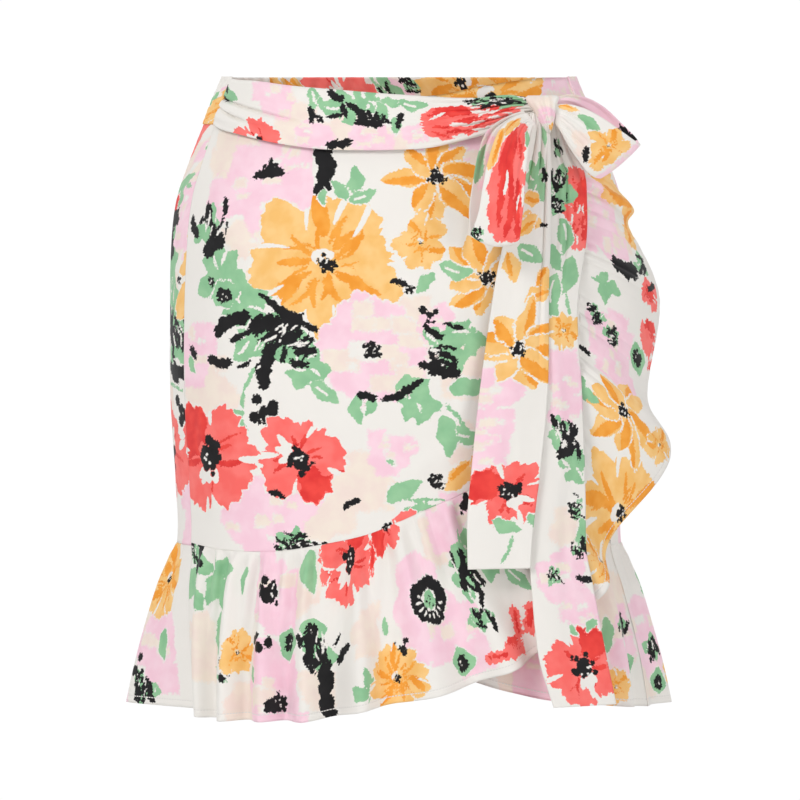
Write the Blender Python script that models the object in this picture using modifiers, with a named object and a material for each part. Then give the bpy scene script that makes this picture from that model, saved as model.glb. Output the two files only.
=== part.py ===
"""A short wrap skirt of light woven cloth, filled out as on its wearer, with the waist and the hem open.

The origin is the centre of the waist ring, +X is the side of the bow, -Y the front and +Z up. Every piece
is a sheet of cloth with a wall. The panels lie on one smooth form, given by the table FORM, and each ruffle
hangs from its seam with waves that grow towards its hem. Angles run round the form in degrees: 0 at the
centre front, 90 at the side of the bow and 180 at the centre back. Levels are heights from the waist.
"""

import math

import bmesh
import bpy
from mathutils import Matrix, Vector

MM = 0.001

# Driving sizes, in millimetres and degrees. RUFFLE_GAP and BAND_GAP are wider than SEAM_GAP because the
# walls on either side slant, and SIDE_GAP is in degrees, of which one is about ARC long on the form.
WALL = 1.2
TIE_WALL = 1.0
BAND_WALL = 1.6
SEAM_GAP = 0.3
BAND_GAP = 0.6
RUFFLE_GAP = 0.45
SIDE_GAP = 0.15
ARC = 2.6
SIDE_LEFT = -66.0
SIDE_RIGHT = 68.0
RUFFLE_SEAM = -334.0
HEM = -447.0
RUFFLE_ROWS = 5
ROUNDNESS = 2.25
UNDER_OUT = 0.6
OVER_OUT = 5.0
SASH_OUT = 9.0

# The form that the panels lie on: level, half width, depth of the front, depth of the back
FORM = (
    (12, 125, 84, 93),
    (0, 126, 85, 95),
    (-18, 133, 89, 101),
    (-38, 141, 93, 107),
    (-60, 149, 97, 113),
    (-89, 158, 101, 119),
    (-125, 162, 104, 121),
    (-180, 164, 105, 120),
    (-235, 163.5, 105, 117),
    (-290, 160, 104, 114),
    (-334, 159, 104, 113),
    (-365, 168, 109, 120),
    (-410, 179, 117, 128),
    (-452, 185, 122, 133),
    (-470, 187, 124, 135),
)

# The curved edge of the outer front, from the left side seam to the right waist, and the ruffle sewn to it:
# length along the seam, angle where its line meets the waist, angle and level of the seam,
# angle, level and stand-off of the ruffle's hem, and swing of the ruffle's waves at the hem
WRAP_EDGE = (
    (0, -66.0, -66.0, -332, -62.0, -447, -8, 8),
    (38, -48.0, -46.0, -335, -46.0, -451, 3, 8),
    (79, -34.0, -29.6, -334.5, -28.0, -450, 5, 8),
    (107, -24.0, -19.0, -330.6, -16.5, -449, 6, 8),
    (148, -11.0, -5.7, -322, -3.5, -440, 6, 9),
    (186, -1.0, 3.8, -307, 14.0, -424, 7, 8),
    (225, 8.0, 15.4, -291, 30.0, -404, 8, 7),
    (266, 17.0, 28.0, -270, 47.0, -371, 12, 6),
    (308, 25.0, 38.0, -240, 63.0, -323, 19, 9),
    (342, 31.0, 44.0, -210, 75.0, -272, 25, 8),
    (372, 36.0, 46.0, -181, 83.0, -226, 19.5, 4.5),
    (427, 44.0, 46.5, -126, 87.0, -160, 18, 4.5),
    (462, 50.0, 48.0, -91, 86.0, -112, 7, 5),
    (507, 57.0, 54.0, -56, 79.0, -72, 4.5, 1.5),
    (547, 66.0, 66.0, -38, 69.0, -44, 6, 0.5),
)

# Where the ruffle of the outer front is on a crest (whole turns) or in a trough (half turns)
WRAP_WAVES = (
    (0, 0.5),
    (20, 1),
    (48, 2),
    (76, 3),
    (104, 4),
    (141, 5),
    (154, 5.5),
    (170, 6),
    (205, 7),
    (240, 8),
    (275, 9),
    (300, 9.5),
    (348, 10),
    (371, 10.5),
    (420, 11),
    (463, 11.5),
    (477, 12),
    (512, 13),
    (547, 14),
)

# The inner front in the same columns, from the right side seam to its hidden left edge, with no ruffle
# past the level where the seam turns up
UNDER_EDGE = (
    (0, 68.0, 68.0, -332, 68.0, -447, 3.6, 6),
    (40, 54.0, 54.0, -333, 52.0, -444, -2, 5),
    (80, 40.0, 40.0, -328, 38.0, -440, -8, 3),
    (115, 29.0, 28.0, -320, 26.0, -434, -10, 3),
    (150, 18.0, 16.0, -305, 12.0, -421, -10, 3),
    (188, 8.0, 4.0, -286, -2.0, -398, -9, 3),
    (228, -2.0, -8.0, -262, -13.0, -355, -7, 2),
    (270, -11.0, -18.0, -230, -21.0, -298, -5, 1.5),
    (306, -18.0, -23.5, -196, -24.5, -226, -3, 0.5),
    (350, -22.0, -26.5, -154, -28.5, -174, 0, 0),
    (395, -26.0, -27.5, -110, -29.5, -130, 0, 0),
    (440, -27.5, -28.0, -66, -30.0, -86, 0, 0),
)
UNDER_RUFFLE_END = 290
UNDER_WAVES = 8.5

# Top edges: angle, level
OVER_TOP = (
    (-66, -6),
    (-46, -10),
    (-30, -14),
    (-15, -17.5),
    (4, -21.5),
    (20, -24.5),
    (36, -27),
    (66, -27),
)
UNDER_TOP = (
    (-28, -25),
    (8, -19),
    (22, -12.4),
    (34, -8.4),
    (48, -5),
    (68, -3),
)
BACK_RISE = 6.0

# The sash over the front: angle, level of its top and of its bottom, depth of its pleats
SASH_LEFT = (
    (-65.7, -4, -37, 1.0),
    (-56, -6, -41, 0.9),
    (-46, -7.5, -45, 0.5),
    (-30, -12, -52.5, 0.2),
    (-15, -15.3, -57, 0.1),
    (4, -19.6, -56.5, 0.3),
    (12, -22, -52, 0.7),
    (20, -23, -46, 0.9),
    (29, -25, -38, 0.8),
)
SASH_PLEATS = 3
SASH_RIGHT = (
    (46.5, -25, -38),
    (53, -22, -45),
    (60, -21, -48),
    (67.6, -19, -47),
)

# Tie ends: level, x of the left and of the right edge, stand-off from the form
TAIL_FRONT = (
    (-49, 93, 103, 16),
    (-80, 82, 104, 15),
    (-125, 71, 104, 14),
    (-150, 66, 103.5, 13.5),
    (-222, 55.6, 102.8, 14.5),
    (-274, 50, 98, 17.5),
    (-312, 46.7, 93, 21),
    (-345, 47, 90, 24),
)
TAIL_BACK = (
    (-49, 98, 107, 11.5),
    (-71, 91, 128, 10.5),
    (-118, 88, 130.5, 10),
    (-166, 84, 124, 10),
    (-224, 86, 127, 11),
    (-275, 88, 129, 13.5),
    (-300, 89, 129.5, 16),
    (-335, 89.5, 130, 19),
    (-352, 90.5, 133, 20.5),
    (-405, 95.5, 142.5, 25),
    (-439, 105.5, 149.5, 26),
)

# Bow loops: share of the length, middle of the loop (x, y, z), half width, half depth
LOOP_LEFT = (
    (0.0, 90, -107, -38, 5, 2.5),
    (0.1, 84, -111, -44, 10, 4.5),
    (0.35, 72, -122, -66, 17, 9),
    (0.7, 66.5, -131, -96, 19, 11),
    (1.0, 65, -134, -123, 18.5, 9),
)
LOOP_LEFT_ACROSS = (0.93, 0.30, 0.20)
LOOP_RIGHT = (
    (0.0, 110, -100, -32, 5, 2.5),
    (0.1, 117, -98, -35, 11, 4.5),
    (0.4, 136, -92, -48, 20, 8),
    (0.75, 149, -88, -58, 21, 9.5),
    (1.0, 158, -85, -63, 21, 8),
)
LOOP_RIGHT_ACROSS = (0.70, 0.36, 0.62)
LOOP_SKEW = 4.0
LOOP_MOUTH = 0.42

KNOT_CENTRE = (99, -103, -33)
KNOT_RADII = (10.5, 7.5, 7.5)
KNOT_TURN = 38.0

BAND_HEIGHT = 34.0
GATHERS_BACK = 36
GATHER_DEPTH = 0.9
BACK_SWING = 9.0
BACK_FOLDS = 10
BACK_FOLD = 1.6

# The same for the back ruffle, by the share of the way round, from the right side seam to the left one
BACK_WAVES = (
    (0, 0.5),
    (0.06, 1),
    (0.13, 2),
    (0.5, 7),
    (0.85, 12),
    (0.93, 13),
    (1, 13.5),
)


def smooth(table, key):
    """The table's columns after the first, on a smooth curve through its rows, where the first is key."""
    rows = table if table[0][0] < table[-1][0] else table[::-1]
    last = len(rows) - 1
    key = min(max(key, rows[0][0]), rows[-1][0])
    i = 0
    while i < last - 1 and key > rows[i + 1][0]:
        i += 1
    span = rows[i + 1][0] - rows[i][0]
    f = (key - rows[i][0]) / span

    def slope(k, column):
        low, high = max(k - 1, 0), min(k + 1, last)
        return (rows[high][column] - rows[low][column]) / (rows[high][0] - rows[low][0])

    values = []
    for column in range(1, len(rows[0])):
        start, end = rows[i][column], rows[i + 1][column]
        leave, arrive = slope(i, column) * span, slope(i + 1, column) * span
        bend = 3 * (end - start) - 2 * leave - arrive
        twist = leave + arrive - 2 * (end - start)
        values.append(start + f * leave + f**2 * bend + f**3 * twist)
    return values


def ease(value, start, end):
    """0 before start, 1 after end, and a smooth step between."""
    f = min(max((value - start) / (end - start), 0.0), 1.0)
    return f * f * (3 - 2 * f)


def on_form(angle, level, out):
    """The point of the form at an angle and level, moved out along the form's level normal."""
    half, front, back = smooth(FORM, level)
    sine, cosine = math.sin(math.radians(angle)), math.cos(math.radians(angle))
    depth = front if cosine > 0 else back
    x = half * math.copysign(abs(sine) ** (2 / ROUNDNESS), sine)
    y = -depth * math.copysign(abs(cosine) ** (2 / ROUNDNESS), cosine)
    normal_x = math.copysign(abs(x / half) ** (ROUNDNESS - 1), x) / half
    normal_y = math.copysign(abs(y / depth) ** (ROUNDNESS - 1), y) / depth
    reach = out / math.hypot(normal_x, normal_y)
    return Vector((x + reach * normal_x, y + reach * normal_y, level))


def on_form_at(x, level, out):
    """The point in front that has this x at this level and stand-off."""
    low, high = -89.0, 89.0
    for _ in range(30):
        angle = (low + high) / 2
        if on_form(angle, level, out).x < x:
            low = angle
        else:
            high = angle
    return on_form(angle, level, out)


def cloth(name, columns, rows, place, colour, wall=WALL):
    """A sheet with a wall: a grid, its points at place(u, v) with u across its columns and v down its rows."""
    mesh = bpy.data.meshes.new(name)
    grid = bmesh.new()
    bmesh.ops.create_grid(grid, x_segments=columns, y_segments=rows, size=0.5)
    for vertex in grid.verts:
        vertex.co = place(vertex.co.x + 0.5, 0.5 - vertex.co.y) * MM
    bmesh.ops.triangulate(grid, faces=grid.faces)
    grid.to_mesh(mesh)
    grid.free()
    mesh.shade_smooth()
    piece = bpy.data.objects.new(name, mesh)
    skirt.objects.link(piece)
    solidify = piece.modifiers.new("Wall", "SOLIDIFY")
    solidify.thickness = wall * MM
    solidify.offset = 0
    finish(piece, colour)
    return piece


def finish(piece, colour):
    material = bpy.data.materials.new(piece.name)
    material.use_nodes = True
    shader = material.node_tree.nodes["Principled BSDF"]
    shader.inputs["Base Color"].default_value = (*colour, 1)
    shader.inputs["Roughness"].default_value = 0.75
    shader.inputs["Metallic"].default_value = 0
    piece.data.materials.append(material)


def round_back(u):
    """The angle a share u of the way round the back, from the right side seam to the left one."""
    gap = SIDE_GAP
    return SIDE_RIGHT + gap + u * (360 + SIDE_LEFT - SIDE_RIGHT - 2 * gap)


def back_top(angle):
    """The waist rises towards the centre back, as far as it dips in front of the sides."""
    return -BACK_RISE * math.cos(math.radians(angle))


def over_out(angle):
    """The outer front leaves the form at the side seam and lies over the inner front from there on."""
    return UNDER_OUT + (OVER_OUT - UNDER_OUT) * ease(angle, SIDE_LEFT, SIDE_LEFT + 26)


def overlap_panel(u, v):
    top_angle, seam_angle, seam_level = smooth(WRAP_EDGE, u * WRAP_EDGE[-1][0])[:3]
    top_level = smooth(OVER_TOP, top_angle)[0]
    bend = v + 0.35 * v * (1 - v)
    angle = top_angle + (seam_angle - top_angle) * v
    angle = max(angle, SIDE_LEFT + SIDE_GAP)
    level = top_level + (seam_level - top_level) * bend
    return on_form(angle, level, over_out(angle))


def ruffle_down(v):
    """Rows lie closer at the gathered seam than at the hem."""
    return 0.45 * v + 0.55 * v * v


def off_seam(down, angle, level):
    """The share of the way from seam to hem, started just clear of the panel that the ruffle is sewn to."""
    gap = RUFFLE_GAP / math.hypot(angle * ARC, level)
    return gap + (1 - gap) * down


def gathers(turns, down):
    """Small gathers near the seam, two to a wave, that die out down the ruffle."""
    return 1.3 * math.cos(4 * math.pi * turns + 0.8) * ease(down, 0, 0.1) * (1 - ease(down, 0.2, 0.75))


def overlap_ruffle(u, v):
    run = u * WRAP_EDGE[-1][0]
    down = ruffle_down(v)
    seam_angle, seam_level, hem_angle, hem_level, hem_out, swing = smooth(WRAP_EDGE, run)[1:]
    turns = smooth(WRAP_WAVES, run)[0]
    start = over_out(seam_angle)
    share = off_seam(down, hem_angle - seam_angle, hem_level - seam_level)
    angle = seam_angle + (hem_angle - seam_angle) * share
    level = seam_level + (hem_level - seam_level) * share
    angle += SIDE_GAP * (1 - ease(run, 0, 30))
    out = start + (hem_out - start) * down**1.3
    out += swing * down**0.8 * math.cos(2 * math.pi * turns)
    out += gathers(turns, down) * ease(run, 0, 20) * ease(swing, 0, 4)
    return on_form(angle, level, out)


def underlap_panel(u, v):
    top_angle, seam_angle, seam_level = smooth(UNDER_EDGE, u * UNDER_EDGE[-1][0])[:3]
    top_level = smooth(UNDER_TOP, top_angle)[0]
    angle = top_angle + (seam_angle - top_angle) * v
    level = top_level + (seam_level - top_level) * v
    return on_form(min(angle, SIDE_RIGHT - SIDE_GAP), level, UNDER_OUT)


def underlap_ruffle(u, v):
    run = u * UNDER_RUFFLE_END
    down = ruffle_down(v)
    seam_angle, seam_level, hem_angle, hem_level, hem_out, swing = smooth(UNDER_EDGE, run)[1:]
    turns = 0.25 + UNDER_WAVES * u
    share = off_seam(down, hem_angle - seam_angle, hem_level - seam_level)
    angle = min(seam_angle + (hem_angle - seam_angle) * share, SIDE_RIGHT - SIDE_GAP)
    level = seam_level + (hem_level - seam_level) * share
    out = UNDER_OUT + (hem_out - UNDER_OUT) * down**1.2
    out += swing * down**0.8 * math.cos(2 * math.pi * turns)
    return on_form(angle, level, out)


def back_waistband(u, v):
    angle = round_back(u)
    level = back_top(angle) - BAND_HEIGHT * v
    return on_form(angle, level, UNDER_OUT + GATHER_DEPTH * math.cos(2 * math.pi * GATHERS_BACK * u))


def back_panel(u, v):
    angle = round_back(u)
    top = back_top(angle) - BAND_HEIGHT - BAND_GAP
    level = top + (RUFFLE_SEAM - top) * v
    fold = BACK_FOLD * math.cos(2 * math.pi * BACK_FOLDS * u) * math.sin(math.pi * min(v * 2.2, 1))
    return on_form(angle, level, UNDER_OUT + fold * ease(u, 0, 0.1) * (1 - ease(u, 0.9, 1)))


def back_ruffle(u, v):
    angle = round_back(u)
    down = ruffle_down(v)
    level = RUFFLE_SEAM - SEAM_GAP + (HEM - RUFFLE_SEAM + SEAM_GAP) * down
    turns = smooth(BACK_WAVES, u)[0]
    out = UNDER_OUT + 2.5 * down
    out += BACK_SWING * down**0.8 * math.cos(2 * math.pi * turns)
    out += gathers(turns, down)
    right, left = 1 - ease(u, 0, 0.05), ease(u, 0.94, 1)
    seam_angle, _, hem_angle, _, hem_out, swing = WRAP_EDGE[0][2:]
    out += (UNDER_OUT + 3 * down**1.2 - out) * right
    out += (UNDER_OUT + (hem_out - UNDER_OUT) * down**1.3 - swing * down**0.8 - out) * left
    return on_form(angle + (hem_angle - seam_angle) * down * left, level, out)


def sash_left(u, v):
    start, end = SASH_LEFT[0][0], SASH_LEFT[-1][0]
    angle = start + (end - start) * u
    top, bottom, pleat = smooth(SASH_LEFT, angle)
    out = over_out(angle) + 2.6 + (SASH_OUT - OVER_OUT - 2.6) * ease(u, 0, 0.3)
    out += pleat * math.cos(2 * math.pi * SASH_PLEATS * v)
    return on_form(angle, top + (bottom - top) * v, out + 3.5 * ease(u, 0.75, 1))


def sash_right(u, v):
    start, end = SASH_RIGHT[0][0], SASH_RIGHT[-1][0]
    angle = start + (end - start) * u
    top, bottom = smooth(SASH_RIGHT, angle)
    return on_form(angle, top + (bottom - top) * v, 10.5 - 2.5 * u)


def tie_end(table):
    def place(u, v):
        level = table[0][0] + (table[-1][0] - table[0][0]) * v
        left, right, out = smooth(table, level)
        return on_form_at(left + (right - left) * u, level, out)

    return place


def bow_loop(table, across):
    """A strip bent into a drop: out along its front to the fold, and back behind it to the knot."""
    side = Vector(across).normalized()
    first, last = Vector(table[0][1:4]), Vector(table[-1][1:4])
    along = (last - first).normalized()
    side = (side - along * side.dot(along)).normalized()
    outward = side.cross(along)
    outward *= -math.copysign(1, outward.y)

    def place(u, v):
        turn = LOOP_MOUTH + u * (2 * math.pi - 2 * LOOP_MOUTH)
        x, y, z, half, depth = smooth(table, (1 - math.cos(turn)) / 2)
        middle = Vector((x, y, z))
        shift = half * (2 * v - 1) - LOOP_SKEW * math.sin(turn) * half / 20
        return middle + side * shift + outward * depth * math.sin(turn)

    return place


def knot(colour):
    mesh = bpy.data.meshes.new("knot")
    ball = bmesh.new()
    bmesh.ops.create_uvsphere(ball, u_segments=14, v_segments=8, radius=1)
    shape = Matrix.Diagonal((*KNOT_RADII, 1))
    slant = Matrix.Rotation(math.radians(KNOT_TURN), 4, "Y")
    place = Matrix.Translation(Vector(KNOT_CENTRE) * MM) @ Matrix.Scale(MM, 4)
    bmesh.ops.transform(ball, matrix=place @ slant @ shape, verts=ball.verts)
    ball.to_mesh(mesh)
    ball.free()
    mesh.shade_smooth()
    piece = bpy.data.objects.new("knot", mesh)
    skirt.objects.link(piece)
    finish(piece, colour)


for thing in list(bpy.data.objects):
    bpy.data.objects.remove(thing)
skirt = bpy.data.collections.new("wrap_skirt")
bpy.context.scene.collection.children.link(skirt)

OFF_WHITE = (0.83, 0.78, 0.75)
PALE_PINK = (0.82, 0.62, 0.73)
PEACH = (0.81, 0.68, 0.62)

cloth("underlap_panel", 34, 6, underlap_panel, PEACH)
cloth("underlap_ruffle", 50, 5, underlap_ruffle, PALE_PINK)
cloth("overlap_panel", 60, 9, overlap_panel, OFF_WHITE)
cloth("overlap_ruffle", 120, RUFFLE_ROWS, overlap_ruffle, PALE_PINK)
cloth("back_waistband", 4 * GATHERS_BACK, 1, back_waistband, PEACH, BAND_WALL)
cloth("back_panel", 40, 10, back_panel, OFF_WHITE)
cloth("back_ruffle", 80, RUFFLE_ROWS, back_ruffle, PALE_PINK)
cloth("sash_left", 18, 9, sash_left, PEACH, TIE_WALL)
cloth("sash_right", 5, 3, sash_right, PEACH, TIE_WALL)
cloth("tail_back", 4, 20, tie_end(TAIL_BACK), OFF_WHITE, TIE_WALL)
cloth("tail_front", 4, 16, tie_end(TAIL_FRONT), OFF_WHITE, TIE_WALL)
cloth("bow_loop_left", 22, 4, bow_loop(LOOP_LEFT, LOOP_LEFT_ACROSS), OFF_WHITE, TIE_WALL)
cloth("bow_loop_right", 22, 4, bow_loop(LOOP_RIGHT, LOOP_RIGHT_ACROSS), OFF_WHITE, TIE_WALL)
knot(PEACH)
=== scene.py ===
"""A short wrap skirt of light printed cloth: its looks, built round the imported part.

The skirt is filled out as when worn, with its waist at the origin, +X on the side of the bow and -Y in front.
Sizes are in millimetres and angles in degrees, until a mesh is written in metres. Angles run round the body:
0 is the centre front, 90 the side of the bow and 180 the centre back. Levels are heights from the waist.
"""

import math
from functools import partial, reduce

import bmesh
import bpy
import numpy as np
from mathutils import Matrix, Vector


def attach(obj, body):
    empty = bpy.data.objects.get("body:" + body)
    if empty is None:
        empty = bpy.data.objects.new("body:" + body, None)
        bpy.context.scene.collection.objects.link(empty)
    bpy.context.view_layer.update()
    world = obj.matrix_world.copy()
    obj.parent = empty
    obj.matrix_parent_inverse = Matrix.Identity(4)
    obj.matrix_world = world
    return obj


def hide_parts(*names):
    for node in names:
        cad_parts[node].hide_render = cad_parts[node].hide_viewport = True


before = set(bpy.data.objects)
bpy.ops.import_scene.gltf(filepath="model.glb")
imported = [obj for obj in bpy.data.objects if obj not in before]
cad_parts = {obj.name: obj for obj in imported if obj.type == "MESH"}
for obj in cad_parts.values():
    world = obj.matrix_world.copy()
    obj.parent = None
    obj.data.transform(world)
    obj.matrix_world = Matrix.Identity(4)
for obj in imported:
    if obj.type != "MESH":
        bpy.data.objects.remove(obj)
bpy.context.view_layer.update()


# ======== Back panel ========
# One width of light crepe viscose round the back from side seam to side seam, gathered a little under the
# waistband, so that soft folds fall from it and die out over the seat.

MM = 0.001
TAU = 2 * math.pi
SIDE_LEFT = -66.0
SIDE_RIGHT = 68.0
CLOTH_WALL = 0.7
UNDER_OUT = 0.6
RUFFLE_SEAM = -334.0
BAND_HEIGHT = 34.0
BACK_RISE = 6.0
BACK_FOLDS = 10
BACK_FOLD = 1.6
GATHER_DEPTH = 0.9
GATHER_FALL = 16

# The form that the panels lie on: level, half width, depth of the front, depth of the back
FORM = (
    (12, 125, 84, 93),
    (0, 126, 85, 95),
    (-18, 133, 89, 101),
    (-38, 141, 93, 107),
    (-60, 149, 97, 113),
    (-89, 158, 101, 119),
    (-125, 162, 104, 121),
    (-180, 164, 105, 120),
    (-235, 163.5, 105, 117),
    (-290, 160, 104, 114),
    (-334, 159, 104, 113),
    (-365, 168, 109, 120),
    (-410, 179, 117, 128),
    (-452, 185, 122, 133),
    (-470, 187, 124, 135),
)
ROUNDNESS = 2.25
HIP_LEVEL = -180.0


def smooth(table, key):
    """The table's columns after the first, on smooth curves through its rows, where the first is key."""
    rows = np.array(sorted(table), dtype=float)
    knots, values = rows[:, 0], rows[:, 1:]
    key = np.clip(key, knots[0], knots[-1])
    i = np.searchsorted(knots[1:-1], key, side="left")
    order = np.arange(len(knots))
    low, high = np.maximum(order - 1, 0), np.minimum(order + 1, len(knots) - 1)
    slopes = (values[high] - values[low]) / (knots[high] - knots[low])[:, None]
    span = knots[i + 1] - knots[i]
    f = ((key - knots[i]) / span)[..., None]
    start, end = values[i], values[i + 1]
    leave, arrive = slopes[i] * span[..., None], slopes[i + 1] * span[..., None]
    bend = 3 * (end - start) - 2 * leave - arrive
    twist = leave + arrive - 2 * (end - start)
    return np.moveaxis(start + f * leave + f**2 * bend + f**3 * twist, -1, 0)


def ease(value, start, end):
    """0 before start, 1 after end, and a smooth step between."""
    f = np.clip((value - start) / (end - start), 0, 1)
    return f * f * (3 - 2 * f)


def hump(value, middle, half_width):
    """1 at the middle, falling smoothly to 0 at a half width to either side."""
    return 1 - ease(np.abs(value - middle), 0, half_width)


def on_form(angle, level, out):
    """Points of the form at these angles and levels, moved out along the form's level normal."""
    half, front, back = smooth(FORM, level)
    sine, cosine = np.sin(np.radians(angle)), np.cos(np.radians(angle))
    depth = np.where(cosine > 0, front, back)
    x = half * np.sign(sine) * np.abs(sine) ** (2 / ROUNDNESS)
    y = -depth * np.sign(cosine) * np.abs(cosine) ** (2 / ROUNDNESS)
    normal_x = np.sign(x) * np.abs(x / half) ** (ROUNDNESS - 1) / half
    normal_y = np.sign(y) * np.abs(y / depth) ** (ROUNDNESS - 1) / depth
    reach = out / np.hypot(normal_x, normal_y)
    return np.stack([x + reach * normal_x, y + reach * normal_y, level + 0 * x], axis=-1)


# Lengths round the form at the hip, from the centre front, at each tenth of a degree
ROUND = np.linspace(-180, 360, 5401)
ROUND_STEPS = np.diff(on_form(ROUND, np.full(len(ROUND), HIP_LEVEL), 0), axis=0)
ROUND_LENGTHS = np.append(0, np.cumsum(np.linalg.norm(ROUND_STEPS, axis=1)))
ROUND_LENGTHS -= np.interp(0, ROUND, ROUND_LENGTHS)
HIP_HALF_WIDTH = float(smooth(FORM, np.array([HIP_LEVEL]))[0][0])


def flat_on_form(angle, level):
    """Where a point of a panel lies in its cut: millimetres across from the centre front, and down."""
    half = smooth(FORM, level)[0]
    return np.interp(angle, ROUND, ROUND_LENGTHS) * half / HIP_HALF_WIDTH, -level


def add_object(name, mesh):
    mesh.shade_smooth()
    made = bpy.data.objects.new(name, mesh)
    bpy.context.scene.collection.objects.link(made)
    return made


def cloth(name, columns, rows):
    """A flat grid of cloth, with the share across its columns and down its rows of each of its points."""
    mesh = bpy.data.meshes.new(name)
    grid = bmesh.new()
    bmesh.ops.create_grid(grid, x_segments=columns, y_segments=rows, size=0.5)
    u = np.array([vertex.co.x + 0.5 for vertex in grid.verts])
    v = np.array([0.5 - vertex.co.y for vertex in grid.verts])
    grid.to_mesh(mesh)
    grid.free()
    return add_object(name, mesh), u, v


def shape_cloth(piece, points, wall=CLOTH_WALL, edges_only=False):
    """Moves the grid's points to their places, and gives the cloth its wall, or its edges alone theirs."""
    piece.data.vertices.foreach_set("co", (points * MM).astype(np.float32).ravel())
    piece.data.update()
    solidify = piece.modifiers.new("Wall", "SOLIDIFY")
    solidify.thickness = wall * MM
    solidify.offset = -1 if edges_only else 0
    solidify.use_rim_only = edges_only


# The inks, in the order of printing: the channel of noise that frays the edge, how far the edge wanders
# finely and broadly, how soft it is, and the two colours between which the ink pools, from 0 to 255.
# Each ink is a field over the cloth, in millimetres: how far a point lies inside the inked shape, and
# below 0 outside it.
INKS = {
    "peach": (0, 2.8, 5.0, 2.0, (243, 229, 215), (241, 222, 212)),
    "pink": (1, 2.6, 4.0, 1.3, (250, 214, 226), (247, 204, 219)),
    "amber": (2, 2.2, 1.8, 0.28, (251, 204, 134), (246, 190, 110)),
    "orange": (0, 2.2, 1.8, 0.28, (247, 166, 68), (241, 152, 50)),
    "coral": (1, 2.2, 1.8, 0.28, (255, 122, 116), (252, 106, 100)),
    "red": (2, 2.2, 1.8, 0.28, (242, 74, 66), (226, 56, 54)),
    "green": (0, 1.9, 2.0, 0.28, (152, 201, 156), (138, 191, 146)),
    "black": (2, 2.1, 0.0, 0.28, (28, 27, 29), (22, 21, 23)),
    "white": (0, 1.0, 0.0, 0.28, (238, 234, 228), (238, 234, 228)),
}
GROUND = (238, 234, 228)
THREAD = (226, 221, 217)
FAR = 9.0
ROUND_WAVES = (2, 3, 5, 7, 11)


class Print:
    def __init__(self, across, down):
        self.across, self.down = across, down
        self.ink = {name: np.full(across.shape, -FAR) for name in INKS}


class Spot:
    """A motif's place in a print: the points within its reach, where they lie from it, and its dice."""

    def __init__(self, printing, x, y, reach, seed):
        within = (np.abs(printing.across - x) < reach) & (np.abs(printing.down - y) < reach)
        self.near = np.flatnonzero(within)
        self.x, self.y = printing.across[self.near] - x, printing.down[self.near] - y
        self.rho, self.theta = np.hypot(self.x, self.y), np.arctan2(self.y, self.x)
        self.ink, self.dice = printing.ink, np.random.default_rng(seed)

    def lay(self, name, *shapes):
        """Inks what lies inside all of these shapes."""
        self.ink[name][self.near] = np.maximum(self.ink[name][self.near], least(*shapes))

    def cut(self, name, shape):
        self.ink[name][self.near] = np.minimum(self.ink[name][self.near], -shape)

    def clear(self, shape, halo):
        """Nothing printed before lies under this shape, nor within a halo of bare cloth round it."""
        for name in self.ink:
            self.cut(name, shape + halo)

    def wobble(self, strength, waves=ROUND_WAVES, angle=None):
        """An uneven outline: a few waves round a circle, of mixed sizes."""
        angle = self.theta if angle is None else angle
        return sum(strength / math.sqrt(n) * np.cos(n * angle + self.dice.uniform(0, TAU)) for n in waves)

    def stroke(self, angle, start, end, width, bend=0.0):
        """A brush stroke that leads away from the centre, widest in its middle."""
        along = np.clip((self.rho - start) / (end - start), 0, 1)
        half_width = width / 2 * np.sqrt(4 * along * (1 - along)) - 0.1
        aside = np.abs(turned(self.theta, angle + bend * along)) * self.rho
        return least(half_width - aside, end - self.rho, self.rho - start)

    def dab(self, way, far, radius):
        """A round dab at this way and distance from the centre."""
        return radius - np.hypot(self.x - far * math.cos(way), self.y - far * math.sin(way))


def least(*shapes):
    return reduce(np.minimum, shapes)


def turned(angle, middle):
    """The angle measured from middle, between half a turn to either side."""
    return (angle - middle + math.pi) % TAU - math.pi


def heart(printing, x, y, radius, turn, seed):
    """A flower's dark middle, lumpy as if dabbed with a sponge, with a few bare specks in it."""
    spot = Spot(printing, x, y, radius * 2.2, seed)
    roll = spot.dice.uniform
    core = radius * (0.66 + spot.wobble(0.1, (2, 3, 5))) - spot.rho
    for _ in range(9):
        far = radius * roll(0.55, 1.05)
        core = np.maximum(core, spot.dab(roll(0, TAU), far, radius * roll(0.16, 0.3)))
    spot.cut("white", core)
    spot.lay("black", core)
    for _ in range(4):
        spot.lay("white", spot.dab(roll(0, TAU), radius * roll(0.1, 0.6), radius * 0.07 + 0.3))


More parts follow.
